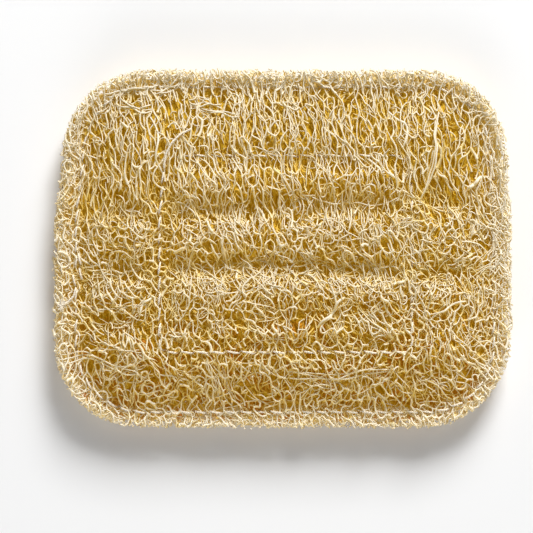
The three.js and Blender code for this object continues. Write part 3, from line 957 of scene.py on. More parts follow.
@dataclass(frozen=True)
class NetLayer:
    """One sheet of the net: how deep it lies and how its cells are sized."""

    name: str
    face: Face
    seed: int
    below: float
    deepest_share: float
    cell: float
    radius: float
    rise: float = 0.5
    samples: int = 4
    sides: int = 3
    dropped: float = 0.0
    inset: float = 0.0
    stretch_back: float = 2.7
    stretch_front: float = 1.7
    stretch_turn: Span = (0.0, 12.0)
    scatter: float = 0.36
    jitter: float = 0.08
    overlap: float = 9.0
    steps: int = 400
    row_share: float = 0.87
    windows: SlowWaves = SlowWaves(seed=5, length=15.0)
    window_share: float = 0.9
    cut: Span = (-0.12, 0.5)
    probes: int = 9
    arch: float = 0.35
    bow: float = 0.07
    girth: Span = (0.65, 1.3)
    stout_chance: float = 0.07
    stout_girth: float = 1.6
    flare: float = 0.45
    calming: float = 0.6

    def stretch(self, y: np.ndarray) -> np.ndarray:
        """Find how much longer than wide the cells are: most at the back, where fibres run straight."""
        return mixed(self.stretch_front, self.stretch_back, eased(y, *self.stretch_turn))

    def centres(
        self, shape: PadShape, draw: np.random.Generator
    ) -> tuple[np.ndarray, np.ndarray, np.ndarray]:
        """Scatter cell centres over the pad in coordinates where cells are as long as wide.

        Args:
            shape: The pad.
            draw: The source of random numbers.

        Returns:
            The centres, then the heights in Y and the matching even coordinate.
        """
        half_length = shape.length / 2 + self.overlap
        y = np.linspace(-shape.width / 2 - self.overlap, shape.width / 2 + self.overlap, self.steps)
        even = np.concatenate([[0.0], np.cumsum(np.diff(y) / self.stretch((y[1:] + y[:-1]) / 2))])
        columns = np.arange(-half_length, half_length, self.cell)
        rows = np.arange(0.0, even[-1], self.cell * self.row_share)
        x, v = np.meshgrid(columns, rows)
        x = x + np.where(np.arange(len(rows)) % 2 == 1, self.cell / 2, 0.0)[:, None]
        scatter = draw.uniform(-self.scatter, self.scatter, (2, *x.shape)) * self.cell
        return np.stack([(x + scatter[0]).ravel(), (v + scatter[1]).ravel()], 1), y, even

    def junctions(self, shape: PadShape, draw: np.random.Generator) -> tuple[np.ndarray, np.ndarray]:
        """Lay out where fibres meet and which junctions they join.

        Args:
            shape: The pad.
            draw: The source of random numbers.

        Returns:
            X and Y of each junction, and the two junctions of each fibre.
        """
        centres, y, even = self.centres(shape, draw)
        corners, _, triangles, *_ = delaunay_2d_cdt([Vector(c) for c in centres], [], [], 0, MERGED_WITHIN)
        corners = np.array([tuple(c) for c in corners])
        triangles = np.array([tuple(t) for t in triangles if len(t) == 3])
        places = corners[triangles].mean(axis=1)
        places = places + draw.normal(0.0, self.jitter * self.cell, places.shape)
        places[:, 1] = np.interp(places[:, 1], even, y)
        places = drifted(places, draw)
        beside: dict[tuple[int, int], int] = {}
        pairs = []
        for number, (a, b, c) in enumerate(triangles):
            for edge in ((a, b), (b, c), (c, a)):
                key = (min(edge), max(edge))
                if key in beside:
                    pairs.append((beside[key], number))
                beside[key] = number
        pairs = np.array(pairs)
        openness = 1.0 + self.window_share * self.windows.at(places[pairs].mean(axis=1))
        return places, pairs[draw.random(len(pairs)) > self.dropped * openness]

    def fibres(self, shape: PadShape, bundle: FibreBundle) -> None:
        """Add the layer's fibres to a bundle.

        Args:
            shape: The pad.
            bundle: Where the fibres go.
        """
        draw = np.random.default_rng(self.seed)
        places, pairs = self.junctions(shape, draw)
        leaving = leaving_directions(places, pairs)
        heights = draw.normal(0.0, self.rise, len(places))
        cut = draw.uniform(*self.cut, len(pairs))
        start, stop = places[pairs[:, 0]], places[pairs[:, 1]]
        length = np.linalg.norm(stop - start, axis=1)
        curve = HermiteFibres(start, stop, leaving[:, 0] * length[:, None], -leaving[:, 1] * length[:, None])
        probe = np.tile(np.linspace(0.0, 1.0, self.probes), (len(pairs), 1))
        inside = shape.outline.depth(curve.at(probe)) > cut[:, None] + self.inset
        kept = inside.any(axis=1)
        begin, end = inside_stretch(inside, probe)
        share = begin[:, None] + (end - begin)[:, None] * np.linspace(0.0, 1.0, self.samples)[None, :]
        across = curve.at(share)
        side = np.stack([start[:, 1] - stop[:, 1], stop[:, 0] - start[:, 0]], 1)
        bow = draw.normal(0.0, self.bow, len(pairs))
        across = across + side[:, None, :] * (bow[:, None] * np.sin(math.pi * share))[..., None]
        lift = mixed(heights[pairs[:, 0]][:, None], heights[pairs[:, 1]][:, None], share)
        arch = draw.normal(0.0, self.arch * self.rise, len(pairs))
        lift = lift + arch[:, None] * np.sin(math.pi * share)
        calm = 1.0 - self.calming * shape.stitched(across)
        z = self.level(shape, across) + lift * calm
        z = np.clip(z, shape.lower(across) + ABOVE_LOWER, shape.upper(across) + ABOVE_UPPER)
        radius = self.radius * draw.uniform(*self.girth, len(pairs))
        radius = radius * np.where(draw.random(len(pairs)) < self.stout_chance, self.stout_girth, 1.0)
        flare = 1.0 + self.flare * np.abs(2 * share - 1) ** 3
        tints = draw.random(len(pairs))
        bundle.add(at_height(across, z)[kept], (radius[:, None] * flare)[kept], tints[kept])

    def level(self, shape: PadShape, places: np.ndarray) -> np.ndarray:
        """Find the layer's height, which is squeezed where the pad is thin."""
        upper, lower = shape.upper(places), shape.lower(places)
        sunk = np.minimum(self.below, self.deepest_share * (upper - lower))
        return upper - sunk if self.face is Face.UPPER else lower + sunk


def drifted(places: np.ndarray, draw: np.random.Generator) -> np.ndarray:
    """Shift places in slow waves, so that rows of cells lean and sway.

    Args:
        places: X and Y of each place.
        draw: The source of random numbers.

    Returns:
        The shifted places.
    """
    x, y = places[:, 0], places[:, 1]
    moved = places.copy()
    moved[:, 0] -= LEAN * y
    for wave_length, reach in DRIFTS.items():
        turns = draw.uniform(0.0, 2 * math.pi, 4)
        pitch = 2 * math.pi / (wave_length * draw.uniform(*DRIFT_VARIES, 4))
        back = np.sin(pitch[0] * y + turns[0]) * np.cos(pitch[1] * x * DRIFT_SLOWER + turns[1])
        along = np.sin(pitch[2] * x + turns[2]) * np.cos(pitch[3] * y + turns[3])
        moved[:, 0] += reach * back
        moved[:, 1] += DRIFT_ALONG * reach * along
    return moved


@dataclass(frozen=True)
class HermiteFibres:
    """Curves between junctions that leave and arrive in given directions."""

    start: np.ndarray
    stop: np.ndarray
    leave: np.ndarray
    arrive: np.ndarray

    def at(self, share: np.ndarray) -> np.ndarray:
        """Find the places at shares of each curve."""
        t = share[..., None]
        return (
            (2 * t**3 - 3 * t**2 + 1) * self.start[:, None]
            + (t**3 - 2 * t**2 + t) * self.leave[:, None]
            + (3 * t**2 - 2 * t**3) * self.stop[:, None]
            + (t**3 - t**2) * self.arrive[:, None]
        )


def inside_stretch(inside: np.ndarray, probe: np.ndarray) -> tuple[np.ndarray, np.ndarray]:
    """Find the stretch of each fibre that lies inside the cut.

    Args:
        inside: Whether each probed place lies inside.
        probe: The shares that were probed.

    Returns:
        Where each stretch begins and ends.
    """
    first = np.argmax(inside, axis=1)
    last = inside.shape[1] - 1 - np.argmax(inside[:, ::-1], axis=1)
    rows = np.arange(len(inside))
    return probe[rows, first], np.maximum(probe[rows, last], probe[rows, first] + SHORTEST_SHARE)


def leaving_directions(places: np.ndarray, pairs: np.ndarray) -> np.ndarray:
    """Choose how fibres leave their junctions: two run on through, and a third branches off them.

    Args:
        places: X and Y of each junction.
        pairs: The two junctions of each fibre.

    Returns:
        For each fibre the directions in which it leaves its first and its second junction.
    """
    outward = np.zeros((len(pairs), 2, 2))
    outward[:, 0] = places[pairs[:, 1]] - places[pairs[:, 0]]
    outward[:, 1] = -outward[:, 0]
    outward /= np.maximum(np.linalg.norm(outward, axis=2, keepdims=True), NEARLY_ZERO)
    meeting: dict[int, list[tuple[int, int]]] = {}
    for number, pair in enumerate(pairs):
        for end, junction in enumerate(pair):
            meeting.setdefault(int(junction), []).append((number, end))
    leaving = outward.copy()
    for fibres in meeting.values():
        if len(fibres) < 2:
            continue
        ways = [outward[fibre] for fibre in fibres]
        couples = [(i, j) for i in range(len(fibres)) for j in range(i)]
        i, j = min(couples, key=lambda couple: float(ways[couple[0]] @ ways[couple[1]]))
        through = ways[i] - ways[j]
        through = through / max(float(np.linalg.norm(through)), NEARLY_ZERO)
        leaving[fibres[i]], leaving[fibres[j]] = through, -through
        for k in set(range(len(fibres))) - {i, j}:
            turn = math.copysign(BRANCH_TURN, float(ways[k] @ through))
            branch = ways[k] + turn * through
            leaving[fibres[k]] = branch / max(float(np.linalg.norm(branch)), NEARLY_ZERO)
    return leaving


@dataclass(frozen=True)
class LooseFibres:
    """Fibres that lie over the net: long ones along the pad's width, or short curls."""

    name: str
    face: Face
    seed: int
    count: int
    shortest: float
    longest: float
    radius: float
    curl: float = 0.0
    gathered_at: tuple[float, ...] = ()
    gathered_spread: float = 1.8
    within: float = math.inf
    bridging: bool = False
    sag: float = 0.5
    above: float = 0.3
    under_stitches: float = 0.6
    samples: int = 9
    sides: int = 3
    margin: float = 0.5
    inset: float = 0.1
    short_bias: float = 1.6
    bend: float = 0.5
    bend_curled: float = 3.0
    stray_front: float = 0.85
    stray_back: float = 0.24
    stray_turn: Span = (-4.0, 14.0)
    wave: Span = (0.1, 0.45)
    wave_length: Span = (3.5, 8.0)
    end_dive: Span = (0.3, 1.8)
    level_spread: Span = (-1.6, 1.1)
    girth: Span = (0.7, 1.35)
    tip_taper: float = 0.3
    darkest_tint: float = 0.8

    def fibres(self, shape: PadShape, bundle: FibreBundle) -> None:
        """Add the loose fibres to a bundle."""
        draw = np.random.default_rng(self.seed)
        count = self.count
        middle = scattered(draw, count, shape.length - 2 * self.margin, shape.width - 2 * self.margin)
        if self.gathered_at:
            rows = draw.choice(self.gathered_at, count)
            middle[:, 1] = rows + draw.normal(0.0, self.gathered_spread, count)
        length = mixed(self.shortest, self.longest, draw.random(count) ** self.short_bias)
        stray = mixed(self.stray_front, self.stray_back, eased(middle[:, 1], *self.stray_turn)) + self.curl
        heading = math.pi / 2 + LEAN + draw.normal(0.0, 1.0, count) * stray
        along = np.linspace(-0.5, 0.5, self.samples)[None, :] * length[:, None]
        bend = draw.normal(0.0, 1.0, count) * (self.bend + self.bend_curled * self.curl) / length
        wave = draw.uniform(*self.wave, count) * (1.0 + self.curl)
        pitch = 2 * math.pi / draw.uniform(*self.wave_length, count)
        phase = draw.uniform(0.0, 2 * math.pi, count)
        angle = heading[:, None] + bend[:, None] * along
        angle = angle + wave[:, None] * np.sin(pitch[:, None] * along + phase[:, None])
        step = (length / (self.samples - 1))[:, None, None]
        moves = np.stack([np.cos(angle), np.sin(angle)], -1) * step
        across = np.cumsum(moves, axis=1)
        across = across - across.mean(axis=1, keepdims=True) + middle[:, None, :]
        share = np.linspace(0.0, 1.0, self.samples)[None, :]
        dive = draw.uniform(*self.end_dive, (2, count, 1))
        ends = dive[0] * (1.0 - share) ** 4 + dive[1] * share**4
        lift = self.above * draw.uniform(*self.level_spread, count)[:, None] - ends
        lift = lift - self.under_stitches * shape.under_stitches(across)
        level = shape.upper(across) if self.face is Face.UPPER else shape.lower(across)
        if self.bridging:
            level = np.maximum(level, mixed(level[:, :1], level[:, -1:], share) - self.sag)
        highest = np.maximum(level, shape.upper(across)) + ABOVE_UPPER
        z = np.clip(level + self.face.value * lift, shape.lower(across) + ABOVE_LOWER, highest)
        inside = (shape.outline.depth(across) > self.inset).all(axis=1)
        kept = inside & (shape.outline.depth(middle) < self.within)
        taper = 1.0 - self.tip_taper * np.abs(2 * share - 1) ** 3
        radius = self.radius * draw.uniform(*self.girth, count)[:, None] * taper
        tints = draw.random(count) * self.darkest_tint
        bundle.add(at_height(across, z)[kept], radius[kept], tints[kept])


@dataclass(frozen=True)
class Strand:
    """A thick fibre, or a few side by side, that stand out on the upper face."""

    route: Route
    count: int = 1
    radius: float = 0.22
    spread: float = 0.45
    above: float = 0.15
    sway: float = 0.7
    fray: float = 0.8
    ripple: float = 0.3
    end_dive: float = 4.5
    tip_taper: float = 0.25
    deepest: float = 0.4
    darkest_tint: float = 0.4


@dataclass(frozen=True)
class StandoutFibres:
    """The fibres that catch the eye on the upper face, each on its own route."""

    name: str
    seed: int
    samples: int = 22
    sides: int = 5
    phases: Span = (0.0, 6.0)
    sways: Span = (5.0, 11.0)
    ripples: Span = (9.0, 15.0)
    girth: Span = (0.85, 1.15)
    back_band: Strand = Strand(
        ((-40.5, 36.5), (-38.0, 35.4), (-35.6, 34.4), (-32.8, 35.0)), count=3, radius=0.24
    )
    back_hem: Strand = Strand(((-45.1, 38.5), (-41.4, 38.9), (-35.6, 40.2), (-31.3, 40.2)), count=2)
    back_rise: Strand = Strand(((-33.3, 38.8), (-29.9, 39.4), (-27.0, 40.8), (-25.3, 42.8)), count=3)
    back_bar: Strand = Strand(((-23.3, 36.0), (-19.5, 36.0), (-15.5, 35.6)), count=2, radius=0.24)
    back_sweep: Strand = Strand(((-21.6, 34.9), (-17.8, 34.2), (-14.1, 33.4), (-10.9, 33.4)), count=2)
    left_band: Strand = Strand(
        ((-55.7, -27.4), (-51.0, -27.0), (-47.1, -27.4), (-40.0, -30.1), (-35.8, -29.4)),
        count=3,
        radius=0.21,
        spread=0.7,
    )
    front_band: Strand = Strand(
        ((1.7, -30.9), (10.4, -32.1), (14.7, -32.1), (19.0, -30.6), (26.3, -29.9)), count=3, spread=0.55
    )
    front_arch: Strand = Strand(((4.0, -36.9), (7.5, -34.2), (10.5, -34.4), (13.2, -35.5)), count=2)
    middle_strip: Strand = Strand(((8.6, -19.6), (11.5, -17.0), (13.2, -13.9), (15.5, -12.2)), radius=0.42)
    middle_stub: Strand = Strand(((27.5, -9.3), (28.7, -8.5), (31.0, -7.4)), radius=0.38)
    right_strip: Strand = Strand(((37.0, -17.5), (39.0, -15.6), (42.0, -13.9), (46.0, -13.4)), radius=0.34)
    left_strip: Strand = Strand(((-32.2, -11.6), (-34.5, -13.9), (-36.0, -16.6)), radius=0.36)
    left_twig: Strand = Strand(((-25.9, -22.6), (-24.0, -20.5), (-22.7, -18.0)), radius=0.3)
    right_branch: Strand = Strand(
        ((38.7, 33.9), (37.5, 28.1), (37.9, 24.6), (37.0, 19.5), (35.5, 15.1), (33.9, 11.7)),
        count=2,
        radius=0.27,
        spread=0.3,
    )
    right_twig: Strand = Strand(((37.5, 20.1), (40.2, 17.5), (42.5, 14.4)), radius=0.3)
    back_twig: Strand = Strand(((26.0, 33.9), (29.0, 32.1), (30.5, 29.9), (30.0, 25.0)), radius=0.32)
    cut_stub: Strand = Strand(
        ((46.0, 14.6), (48.0, 16.4), (50.0, 18.1)), radius=0.48, spread=0.0, above=0.5
    )
    cross_sag: Strand = Strand(
        ((7.0, 13.1), (8.8, 11.7), (11.8, 11.2), (15.0, 11.8), (17.3, 13.4)), radius=0.2
    )
    cross_line: Strand = Strand(
        ((16.0, 10.4), (18.4, 11.3), (21.6, 11.0), (25.5, 11.5), (29.2, 12.6)), radius=0.2
    )
    cross_end: Strand = Strand(((33.0, 11.4), (36.7, 10.6), (40.5, 9.6), (44.0, 9.9)), count=2, radius=0.18)
    left_run: Strand = Strand(((-33.2, 32.4), (-30.9, 28.4), (-31.1, 22.4), (-29.5, 17.5)), radius=0.3)
    left_hook: Strand = Strand(((-37.0, 24.0), (-37.6, 21.3), (-36.0, 20.4), (-33.3, 21.5)), radius=0.26)

    def fibres(self, shape: PadShape, bundle: FibreBundle) -> None:
        """Add every standout fibre to a bundle."""
        draw = np.random.default_rng(self.seed)
        share = np.linspace(0.0, 1.0, self.samples)
        from_middle = np.abs(2 * share - 1)
        for strand in (value for value in vars(self).values() if isinstance(value, Strand)):
            middle = rounded_route(shape.evened(np.array(strand.route)), self.samples)
            ahead = np.gradient(middle, axis=0)
            side = np.stack([-ahead[:, 1], ahead[:, 0]], 1) / np.linalg.norm(ahead, axis=1)[:, None]
            for number in range(strand.count):
                place = (number - (strand.count - 1) / 2) * strand.spread
                wave = np.sin(share * draw.uniform(*self.sways) + draw.uniform(*self.phases))
                sideways = place * (1.0 + strand.fray * from_middle**3) + strand.sway * strand.spread * wave
                across = middle + side * sideways[:, None]
                dive = strand.above * (1.0 - strand.end_dive * from_middle**6)
                wave = np.sin(share * draw.uniform(*self.ripples) + draw.uniform(*self.phases))
                z = shape.upper(across) + dive + strand.ripple * wave + draw.uniform(-strand.deepest, 0.0)
                taper = 1.0 - strand.tip_taper * from_middle**2
                radius = strand.radius * draw.uniform(*self.girth) * taper
                tint = draw.uniform(0.0, strand.darkest_tint, 1)
                bundle.add(at_height(across, z)[None], radius[None], tint)


def rounded_route(corners: np.ndarray, samples: int) -> np.ndarray:
    """Draw a smooth line through given places.

    Args:
        corners: The places.
        samples: How many points the line has.

    Returns:
        The points.
    """
    before = 2 * corners[0] - corners[1]
    after = 2 * corners[-1] - corners[-2]
    padded = np.concatenate([[before], corners, [after]])
    slopes = (padded[2:] - padded[:-2]) / 2
    at = np.linspace(0.0, len(corners) - 1.0, samples)
    piece = np.minimum(at.astype(int), len(corners) - 2)
    curves = HermiteFibres(corners[piece], corners[piece + 1], slopes[piece], slopes[piece + 1])
    return curves.at((at - piece)[:, None])[:, 0]


@dataclass(frozen=True)
class CrossFibres:
    """Fibres that run from one layer of the net to another and hold them together."""

    name: str
    count: int
    seed: int
    radius: float = 0.2
    samples: int = 4
    sides: int = 3
    reach: float = 2.2
    inset: float = 0.1
    rim_width: float = 3.0
    inner_share: float = 0.3
    bow: float = 0.3
    levels: Span = (0.02, 0.98)
    girth: Span = (0.7, 1.3)

    def fibres(self, shape: PadShape, bundle: FibreBundle) -> None:
        """Add the crossing fibres to a bundle."""
        draw = np.random.default_rng(self.seed)
        count = self.count
        start = scattered(draw, count, shape.length, shape.width)
        inside = shape.outline.depth(start)
        chance = np.where(inside < self.rim_width, 1.0, self.inner_share)
        start = start[(inside > self.inset) & (draw.random(count) < chance)]
        count = len(start)
        move = draw.normal(0.0, self.reach, (count, 2))
        share = np.linspace(0.0, 1.0, self.samples)[None, :]
        side = np.stack([-move[:, 1], move[:, 0]], 1) * draw.normal(0.0, self.bow, count)[:, None]
        across = start[:, None, :] + move[:, None, :] * share[..., None]
        across = across + side[:, None, :] * np.sin(math.pi * share)[..., None]
        low, high = shape.lower(across), shape.upper(across)
        first, last = draw.uniform(*self.levels, (2, count, 1))
        z = mixed(low, high, mixed(first, last, share))
        kept = (shape.outline.depth(across) > 0.0).all(axis=1)
        radius = self.radius * draw.uniform(*self.girth, count)[:, None] * np.ones_like(share)
        bundle.add(at_height(across, z)[kept], radius[kept], draw.random(count)[kept])


@dataclass
class LoofahNet:
    """The pad: nets from the upper face down to the lower one, and the fibres among them."""

    shape: PadShape
    finish: FibreFinish = FibreFinish()
    wander: float = 0.22
    turns: float = 260.0

    def parts(self) -> Iterable[NetLayer | LooseFibres | StandoutFibres | CrossFibres]:
        """List the layers of the net from the top down, then the fibres among them."""
        up, low = Face.UPPER, Face.LOWER
        surface = {"samples": 5, "sides": 4}
        mat = {"inset": 2.0, "samples": 2, "rise": 0.4}
        curls = {"shortest": 2.5, "longest": 6.5}
        return (
            NetLayer("upper_face_net", up, 11, 0.2, 0.05, 1.95, 0.185, rise=0.45, dropped=0.2, **surface),
            NetLayer("upper_second_net", up, 12, 1.2, 0.18, 2.1, 0.185, samples=5, dropped=0.2),
            NetLayer("upper_third_net", up, 13, 2.3, 0.32, 2.1, 0.24, dropped=0.15),
            NetLayer("upper_mat", up, 14, 3.0, 0.45, 1.45, 0.5, **mat),
            NetLayer("lower_mat", low, 20, 2.9, 0.4, 1.45, 0.48, **mat),
            NetLayer("lower_second_net", low, 15, 1.2, 0.25, 2.15, 0.22, dropped=0.14),
            NetLayer("lower_face_net", low, 16, 0.25, 0.06, 1.95, 0.2, rise=0.35, dropped=0.14, **surface),
            LooseFibres("upper_long_fibres", up, 17, 1500, shortest=5.0, longest=15.0, radius=0.165),
            LooseFibres("upper_curls", up, 21, 1300, radius=0.155, curl=0.8, **curls),
            LooseFibres(
                "crest_curls", up, 22, 640, radius=0.165, curl=1.4, gathered_at=(5.5, -9.5), **curls
            ),
            LooseFibres(
                "rim_curls", up, 24, 5200, shortest=2.0, longest=5.0, radius=0.155, curl=1.2, within=5.0
            ),
            LooseFibres(
                "valley_bridges",
                up,
                25,
                340,
                shortest=4.0,
                longest=9.0,
                radius=0.18,
                curl=0.1,
                gathered_at=(9.8, -5.6),
                bridging=True,
            ),
            StandoutFibres("standout_fibres", 23),
            LooseFibres(
                "lower_long_fibres", low, 18, 450, shortest=4.0, longest=12.0, radius=0.17, curl=0.1
            ),
            CrossFibres("crossing_fibres", 7500, 19),
        )

    def build(self) -> list[bpy.types.Object]:
        """Grow every layer.

        Returns:
            The finished pieces.
        """
        tree = FibreTree()
        material = self.finish.make()
        made = []
        for part in self.parts():
            bundle = FibreBundle(self.shape)
            part.fibres(self.shape, bundle)
            piece = tree.grow(
                bundle.mesh(part.name),
                {
                    "Sides": part.sides,
                    "Wander": self.wander * MM,
                    "Turns": self.turns,
                    "Seed": float(part.seed),
                    "Material": material,
                },
            )
            made.append(placed(piece, PAD_NODE))
        return made


@dataclass
class ThreadRoute:
    """The lines of one thread, with what the sewing needs to know at each point."""

    points: list[np.ndarray] = field(default_factory=list)
    runs: list[np.ndarray] = field(default_factory=list)
    sewn: list[np.ndarray] = field(default_factory=list)
    girths: list[np.ndarray] = field(default_factory=list)

    def add(self, points: np.ndarray, run: np.ndarray, sewn: np.ndarray, girth: float) -> None:
        """Add a line.

        Args:
            points: Its points.
            run: How far along the seam each one lies.
            sewn: Whether it is sewn down there.
            girth: Its thickness, as a share of the thread's.
        """
        self.points.append(points)
        self.runs.append(run)
        self.sewn.append(sewn)
        self.girths.append(np.full(len(points), girth))

    def mesh(self, shape: PadShape, name: str) -> bpy.types.Mesh:
        """Make a mesh of bare edges in metres, with the values on its points.

        Args:
            shape: The pad.
            name: The mesh's name.

        Returns:
            The mesh.
        """
        edges = []
        start = 0
        for line in self.points:
            edges += [(start + i, start + i + 1) for i in range(len(line) - 1)]
            start += len(line)
        values = {
            "run": np.concatenate(self.runs) * MM,
            "sewn": np.concatenate(self.sewn),
            "girth": np.concatenate(self.girths),
        }
        return edge_mesh(name, shape.narrowed(np.concatenate(self.points)), edges, values)


@dataclass(frozen=True)
class SeamThread:
    """One thread of a seam, on one face of the pad.

    It begins at a share of the seam's loop, goes round and stops a gap before its own beginning.
    """

    name: str
    loop: RoundedBox
    level: float
    face: Face
    begin: float
    end_gap: float = 4.0
    tail: Route = ()
    tail_above: float = 0.75
    extra: tuple[Route, ...] = ()
    extra_above: float = 0.2
    extra_dive: float = 1.2
    frayed: int = 0
    fray_girth: float = 0.55
    fray_reach: Span = (0.7, 1.6)
    fray_turns: Span = (1.2, 5.0)
    fray_slopes: Span = (-0.1, 0.3)
    fray_drop: float = 0.25
    fray_scatter: float = 0.25
    fray_bend: float = 0.8
    fray_points: int = 6
    fray_seed: int = 31
    lift: float = 0.0
    spacing: float = 0.4
    extra_spacing: float = 0.3

    def route(self, shape: PadShape) -> ThreadRoute:
        """Lay the thread: its loose end first, then round the seam.

        Args:
            shape: The pad.

        Returns:
            The route, with the extra stitches and the frayed end.
        """
        made = ThreadRoute()
        loop = self.loop.path(self.spacing)[:-1]
        loop = np.roll(loop, -round(self.begin * len(loop)), axis=0)
        loop = loop[: len(loop) - round(self.end_gap / self.spacing)]
        seam = at_height(loop, self.level + self.lift * shape.raised(loop))
        run = np.arange(len(seam)) * self.spacing
        loose = np.zeros((0, 3))
        if self.tail:
            line = np.concatenate([self.lifted(shape, self.tail, self.tail_above), seam[:1]])
            loose = evenly_spaced(line, self.spacing)[:-1]
        sewn = np.concatenate([np.zeros(len(loose)), np.ones(len(seam))])
        made.add(np.concatenate([loose, seam]), np.concatenate([np.zeros(len(loose)), run]), sewn, 1.0)
        for stitch in self.extra:
            line = evenly_spaced(self.lifted(shape, stitch, self.extra_above), self.extra_spacing)
            line[:, 2] -= self.extra_dive * np.abs(np.linspace(-1.0, 1.0, len(line))) ** 4
            made.add(line, np.zeros(len(line)), np.zeros(len(line)), 1.0)
        if self.frayed:
            self.fray(made, loose[0])
        return made

    @staticmethod
    def lifted(shape: PadShape, places: Sequence[Sequence[float]], above: float) -> np.ndarray:
        """Put places at a height over the upper face."""
        flat = np.array(places)
        return at_height(flat, shape.upper(flat) + above)

    def fray(self, made: ThreadRoute, tip: np.ndarray) -> None:
        """Spread loose filaments from the thread's cut end.

        Args:
            made: The route that they join.
            tip: Where the thread ends.
        """
        draw = np.random.default_rng(self.fray_seed)
        share = np.linspace(0.0, 1.0, self.fray_points)
        still = np.zeros(len(share))
        turns = np.linspace(*self.fray_turns, self.frayed)
        for turn in turns + draw.normal(0.0, self.fray_scatter, self.frayed):
            reach = draw.uniform(*self.fray_reach)
            bent = turn + draw.normal(0.0, self.fray_bend) * share
            slope = draw.uniform(*self.fray_slopes) - self.fray_drop * share
            step = np.stack([np.cos(bent), np.sin(bent), slope], 1)
            line = tip + np.cumsum(step, axis=0) * reach / len(share)
            made.add(line, still, still, self.fray_girth)


@dataclass
class Sewing:
    """The two seams, each with a thread on both faces."""

    shape: PadShape
    finish: ThreadFinish = ThreadFinish()
    stitch: float = 3.8
    dip: float = 2.2
    ply_radius: float = 0.16
    lift: float = 0.55
    below: float = 0.5
    outer_begin: float = 0.459
    inner_begin: float = 0.303
    filaments: int = 26
    outer_tail: Route = ((-55.0, -14.2), (-53.6, -13.2), (-52.3, -11.9))
    inner_tail: Route = ((-24.0, 29.6), (-26.6, 28.4), (-28.8, 26.2), (-30.3, 23.4))
    doubled: tuple[Route, ...] = (
        ((-51.2, -1.2), (-51.0, -2.6), (-50.6, -4.1)),
        ((-51.0, -4.9), (-50.7, -6.3), (-50.3, -7.8)),
        ((-52.6, -6.6), (-52.3, -8.0), (-52.0, -9.3)),
    )

    def threads(self) -> Iterable[SeamThread]:
        """List the four threads, named as their solids are."""
        s = self.shape
        outer = {"loop": s.outer_seam, "begin": self.outer_begin}
        inner = {"loop": s.inner_seam, "begin": self.inner_begin}
        above = {"face": Face.UPPER, "lift": self.lift}
        return (
            SeamThread(
                "outer_seam_top_thread",
                level=s.outer_top,
                tail=self.outer_tail,
                extra=self.doubled,
                frayed=self.filaments,
                **outer,
                **above,
            ),
            SeamThread(
                "inner_seam_top_thread", level=s.inner_top, tail=self.inner_tail, **inner, **above
            ),
            SeamThread(
                "outer_seam_bottom_thread", level=s.outer_bottom - self.below, face=Face.LOWER, **outer
            ),
            SeamThread(
                "inner_seam_bottom_thread", level=s.inner_bottom - self.below, face=Face.LOWER, **inner
            ),
        )

    def build(self) -> list[bpy.types.Object]:
        """Sew the threads.

        Returns:
            The finished pieces.
        """
        tree = ThreadTree()
        material = self.finish.make()
        made = []
        for thread in self.threads():
            piece = tree.grow(
                thread.route(self.shape).mesh(self.shape, f"sewn_{thread.name}"),
                {
                    "Stitch": self.stitch * MM,
                    "Dip": -thread.face.value * self.dip * MM,
                    "Ply Radius": self.ply_radius * MM,
                    "Material": material,
                },
            )
            made.append(placed(piece, thread.name))
        return made


def placed(piece: bpy.types.Object, node: str) -> bpy.types.Object:
    """Let a piece ride with the part and stand for one of its solids.

    Args:
        piece: The finished piece.
        node: The solid that it replaces.

    Returns:
        The piece.
    """
    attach(piece, BODY)
    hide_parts(node)
    return piece


@dataclass(frozen=True)
class SoftLight:
    """A square soft light that faces the pad."""

    name: str
    x: float
    y: float
    z: float
    size: float
    watts: float

    def hang(self) -> None:
        """Hang it in its place."""
        data = bpy.data.lights.new(self.name, "AREA")
        data.size = self.size * MM
        data.energy = self.watts
        place = Vector((self.x, self.y, self.z))
        lamp = bpy.data.objects.new(self.name, data)
        lamp.location = place * MM
        lamp.rotation_mode = "QUATERNION"
        lamp.rotation_quaternion = place.to_track_quat("Z", "Y")
        bpy.context.scene.collection.objects.link(lamp)


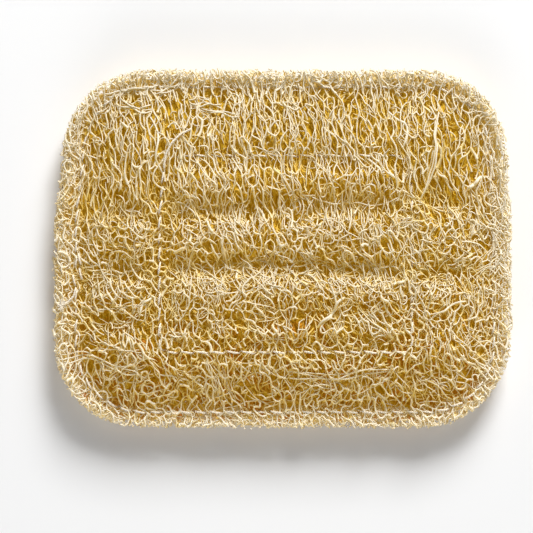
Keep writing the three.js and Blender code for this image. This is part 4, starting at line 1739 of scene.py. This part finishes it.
@dataclass(frozen=True)
class Studio:
    """A white table under a soft light from the upper right, seen from straight above."""

    frame_width: float = 133.25
    aim_x: float = -4.1
    aim_y: float = -4.5
    aim_z: float = 8.0
    lens: float = 150.0
    sensor: float = 36.0
    nearest: float = 10.0
    farthest: float = 20000.0
    floor_side: float = 4000.0
    floor_gap: float = 0.1
    floor_white: Quad = (0.9, 0.9, 0.9, 1.0)
    floor_roughness: float = 0.9
    horizon: Colour = (1.0, 1.0, 1.0)
    zenith: Colour = (0.045, 0.045, 0.045)
    horizon_height: float = 0.05
    zenith_height: float = 0.35
    key: SoftLight = SoftLight("key", x=380.0, y=1280.0, z=750.0, size=620.0, watts=37.0)
    overhead: SoftLight = SoftLight("overhead", x=-4.0, y=-4.0, z=900.0, size=200.0, watts=0.85)
    front_fill: SoftLight = SoftLight("front_fill", x=-120.0, y=-900.0, z=200.0, size=700.0, watts=6.3)

    def floor(self) -> None:
        """Lay the table."""
        half = self.floor_side / 2 * MM
        low = -self.floor_gap * MM
        mesh = bpy.data.meshes.new("table")
        corners = [(-half, -half, low), (half, -half, low), (half, half, low), (-half, half, low)]
        mesh.from_pydata(corners, [], [(0, 1, 2, 3)])
        table = bpy.data.objects.new("table", mesh)
        bpy.context.scene.collection.objects.link(table)
        made = bpy.data.materials.new("table_white")
        made.use_nodes = True
        sheet = NodeSheet(made.node_tree)
        sheet.surface({"Base Color": self.floor_white, "Roughness": self.floor_roughness})
        mesh.materials.append(made)

    def sky(self) -> None:
        """Let pale light come in from low all round."""
        world = bpy.data.worlds.new("studio")
        world.use_nodes = True
        sheet = NodeSheet(world.node_tree)
        way = sheet.node("ShaderNodeTexCoord").outputs["Generated"]
        height = sheet.node("ShaderNodeSeparateXYZ", inputs={0: way}).outputs["Z"]
        stops = ((self.horizon_height, self.horizon), (self.zenith_height, self.zenith))
        sky = sheet.node("ShaderNodeBackground", inputs={"Color": sheet.ramp(height, stops)})
        sheet.node("ShaderNodeOutputWorld", inputs={"Surface": sky.outputs[0]})
        bpy.context.scene.world = world

    def camera(self) -> None:
        """Set the camera over the pad, looking straight down."""
        data = bpy.data.cameras.new("camera")
        data.lens = self.lens
        data.sensor_width = self.sensor
        data.clip_start = self.nearest * MM
        data.clip_end = self.farthest * MM
        camera = bpy.data.objects.new("camera", data)
        height = self.aim_z + self.frame_width * self.lens / self.sensor
        camera.location = Vector((self.aim_x, self.aim_y, height)) * MM
        bpy.context.scene.collection.objects.link(camera)
        bpy.context.scene.camera = camera

    def build(self) -> None:
        """Set up the table, the lights, the sky and the camera."""
        self.floor()
        for light in (self.key, self.overhead, self.front_fill):
            light.hang()
        self.sky()
        bpy.context.scene.view_settings.view_transform = "Standard"
        self.camera()


def main() -> None:
    """Build the sponge and its studio."""
    logging.basicConfig(level=logging.INFO, format="%(name)s: %(message)s")
    shape = PadShape()
    for piece in (*LoofahNet(shape).build(), *Sewing(shape).build()):
        triangles = sum(len(face.vertices) - 2 for face in piece.data.polygons)
        LOG.info("%s: %d triangles", piece.name, triangles)
    Studio().build()


if __name__ == "__main__":
    main()
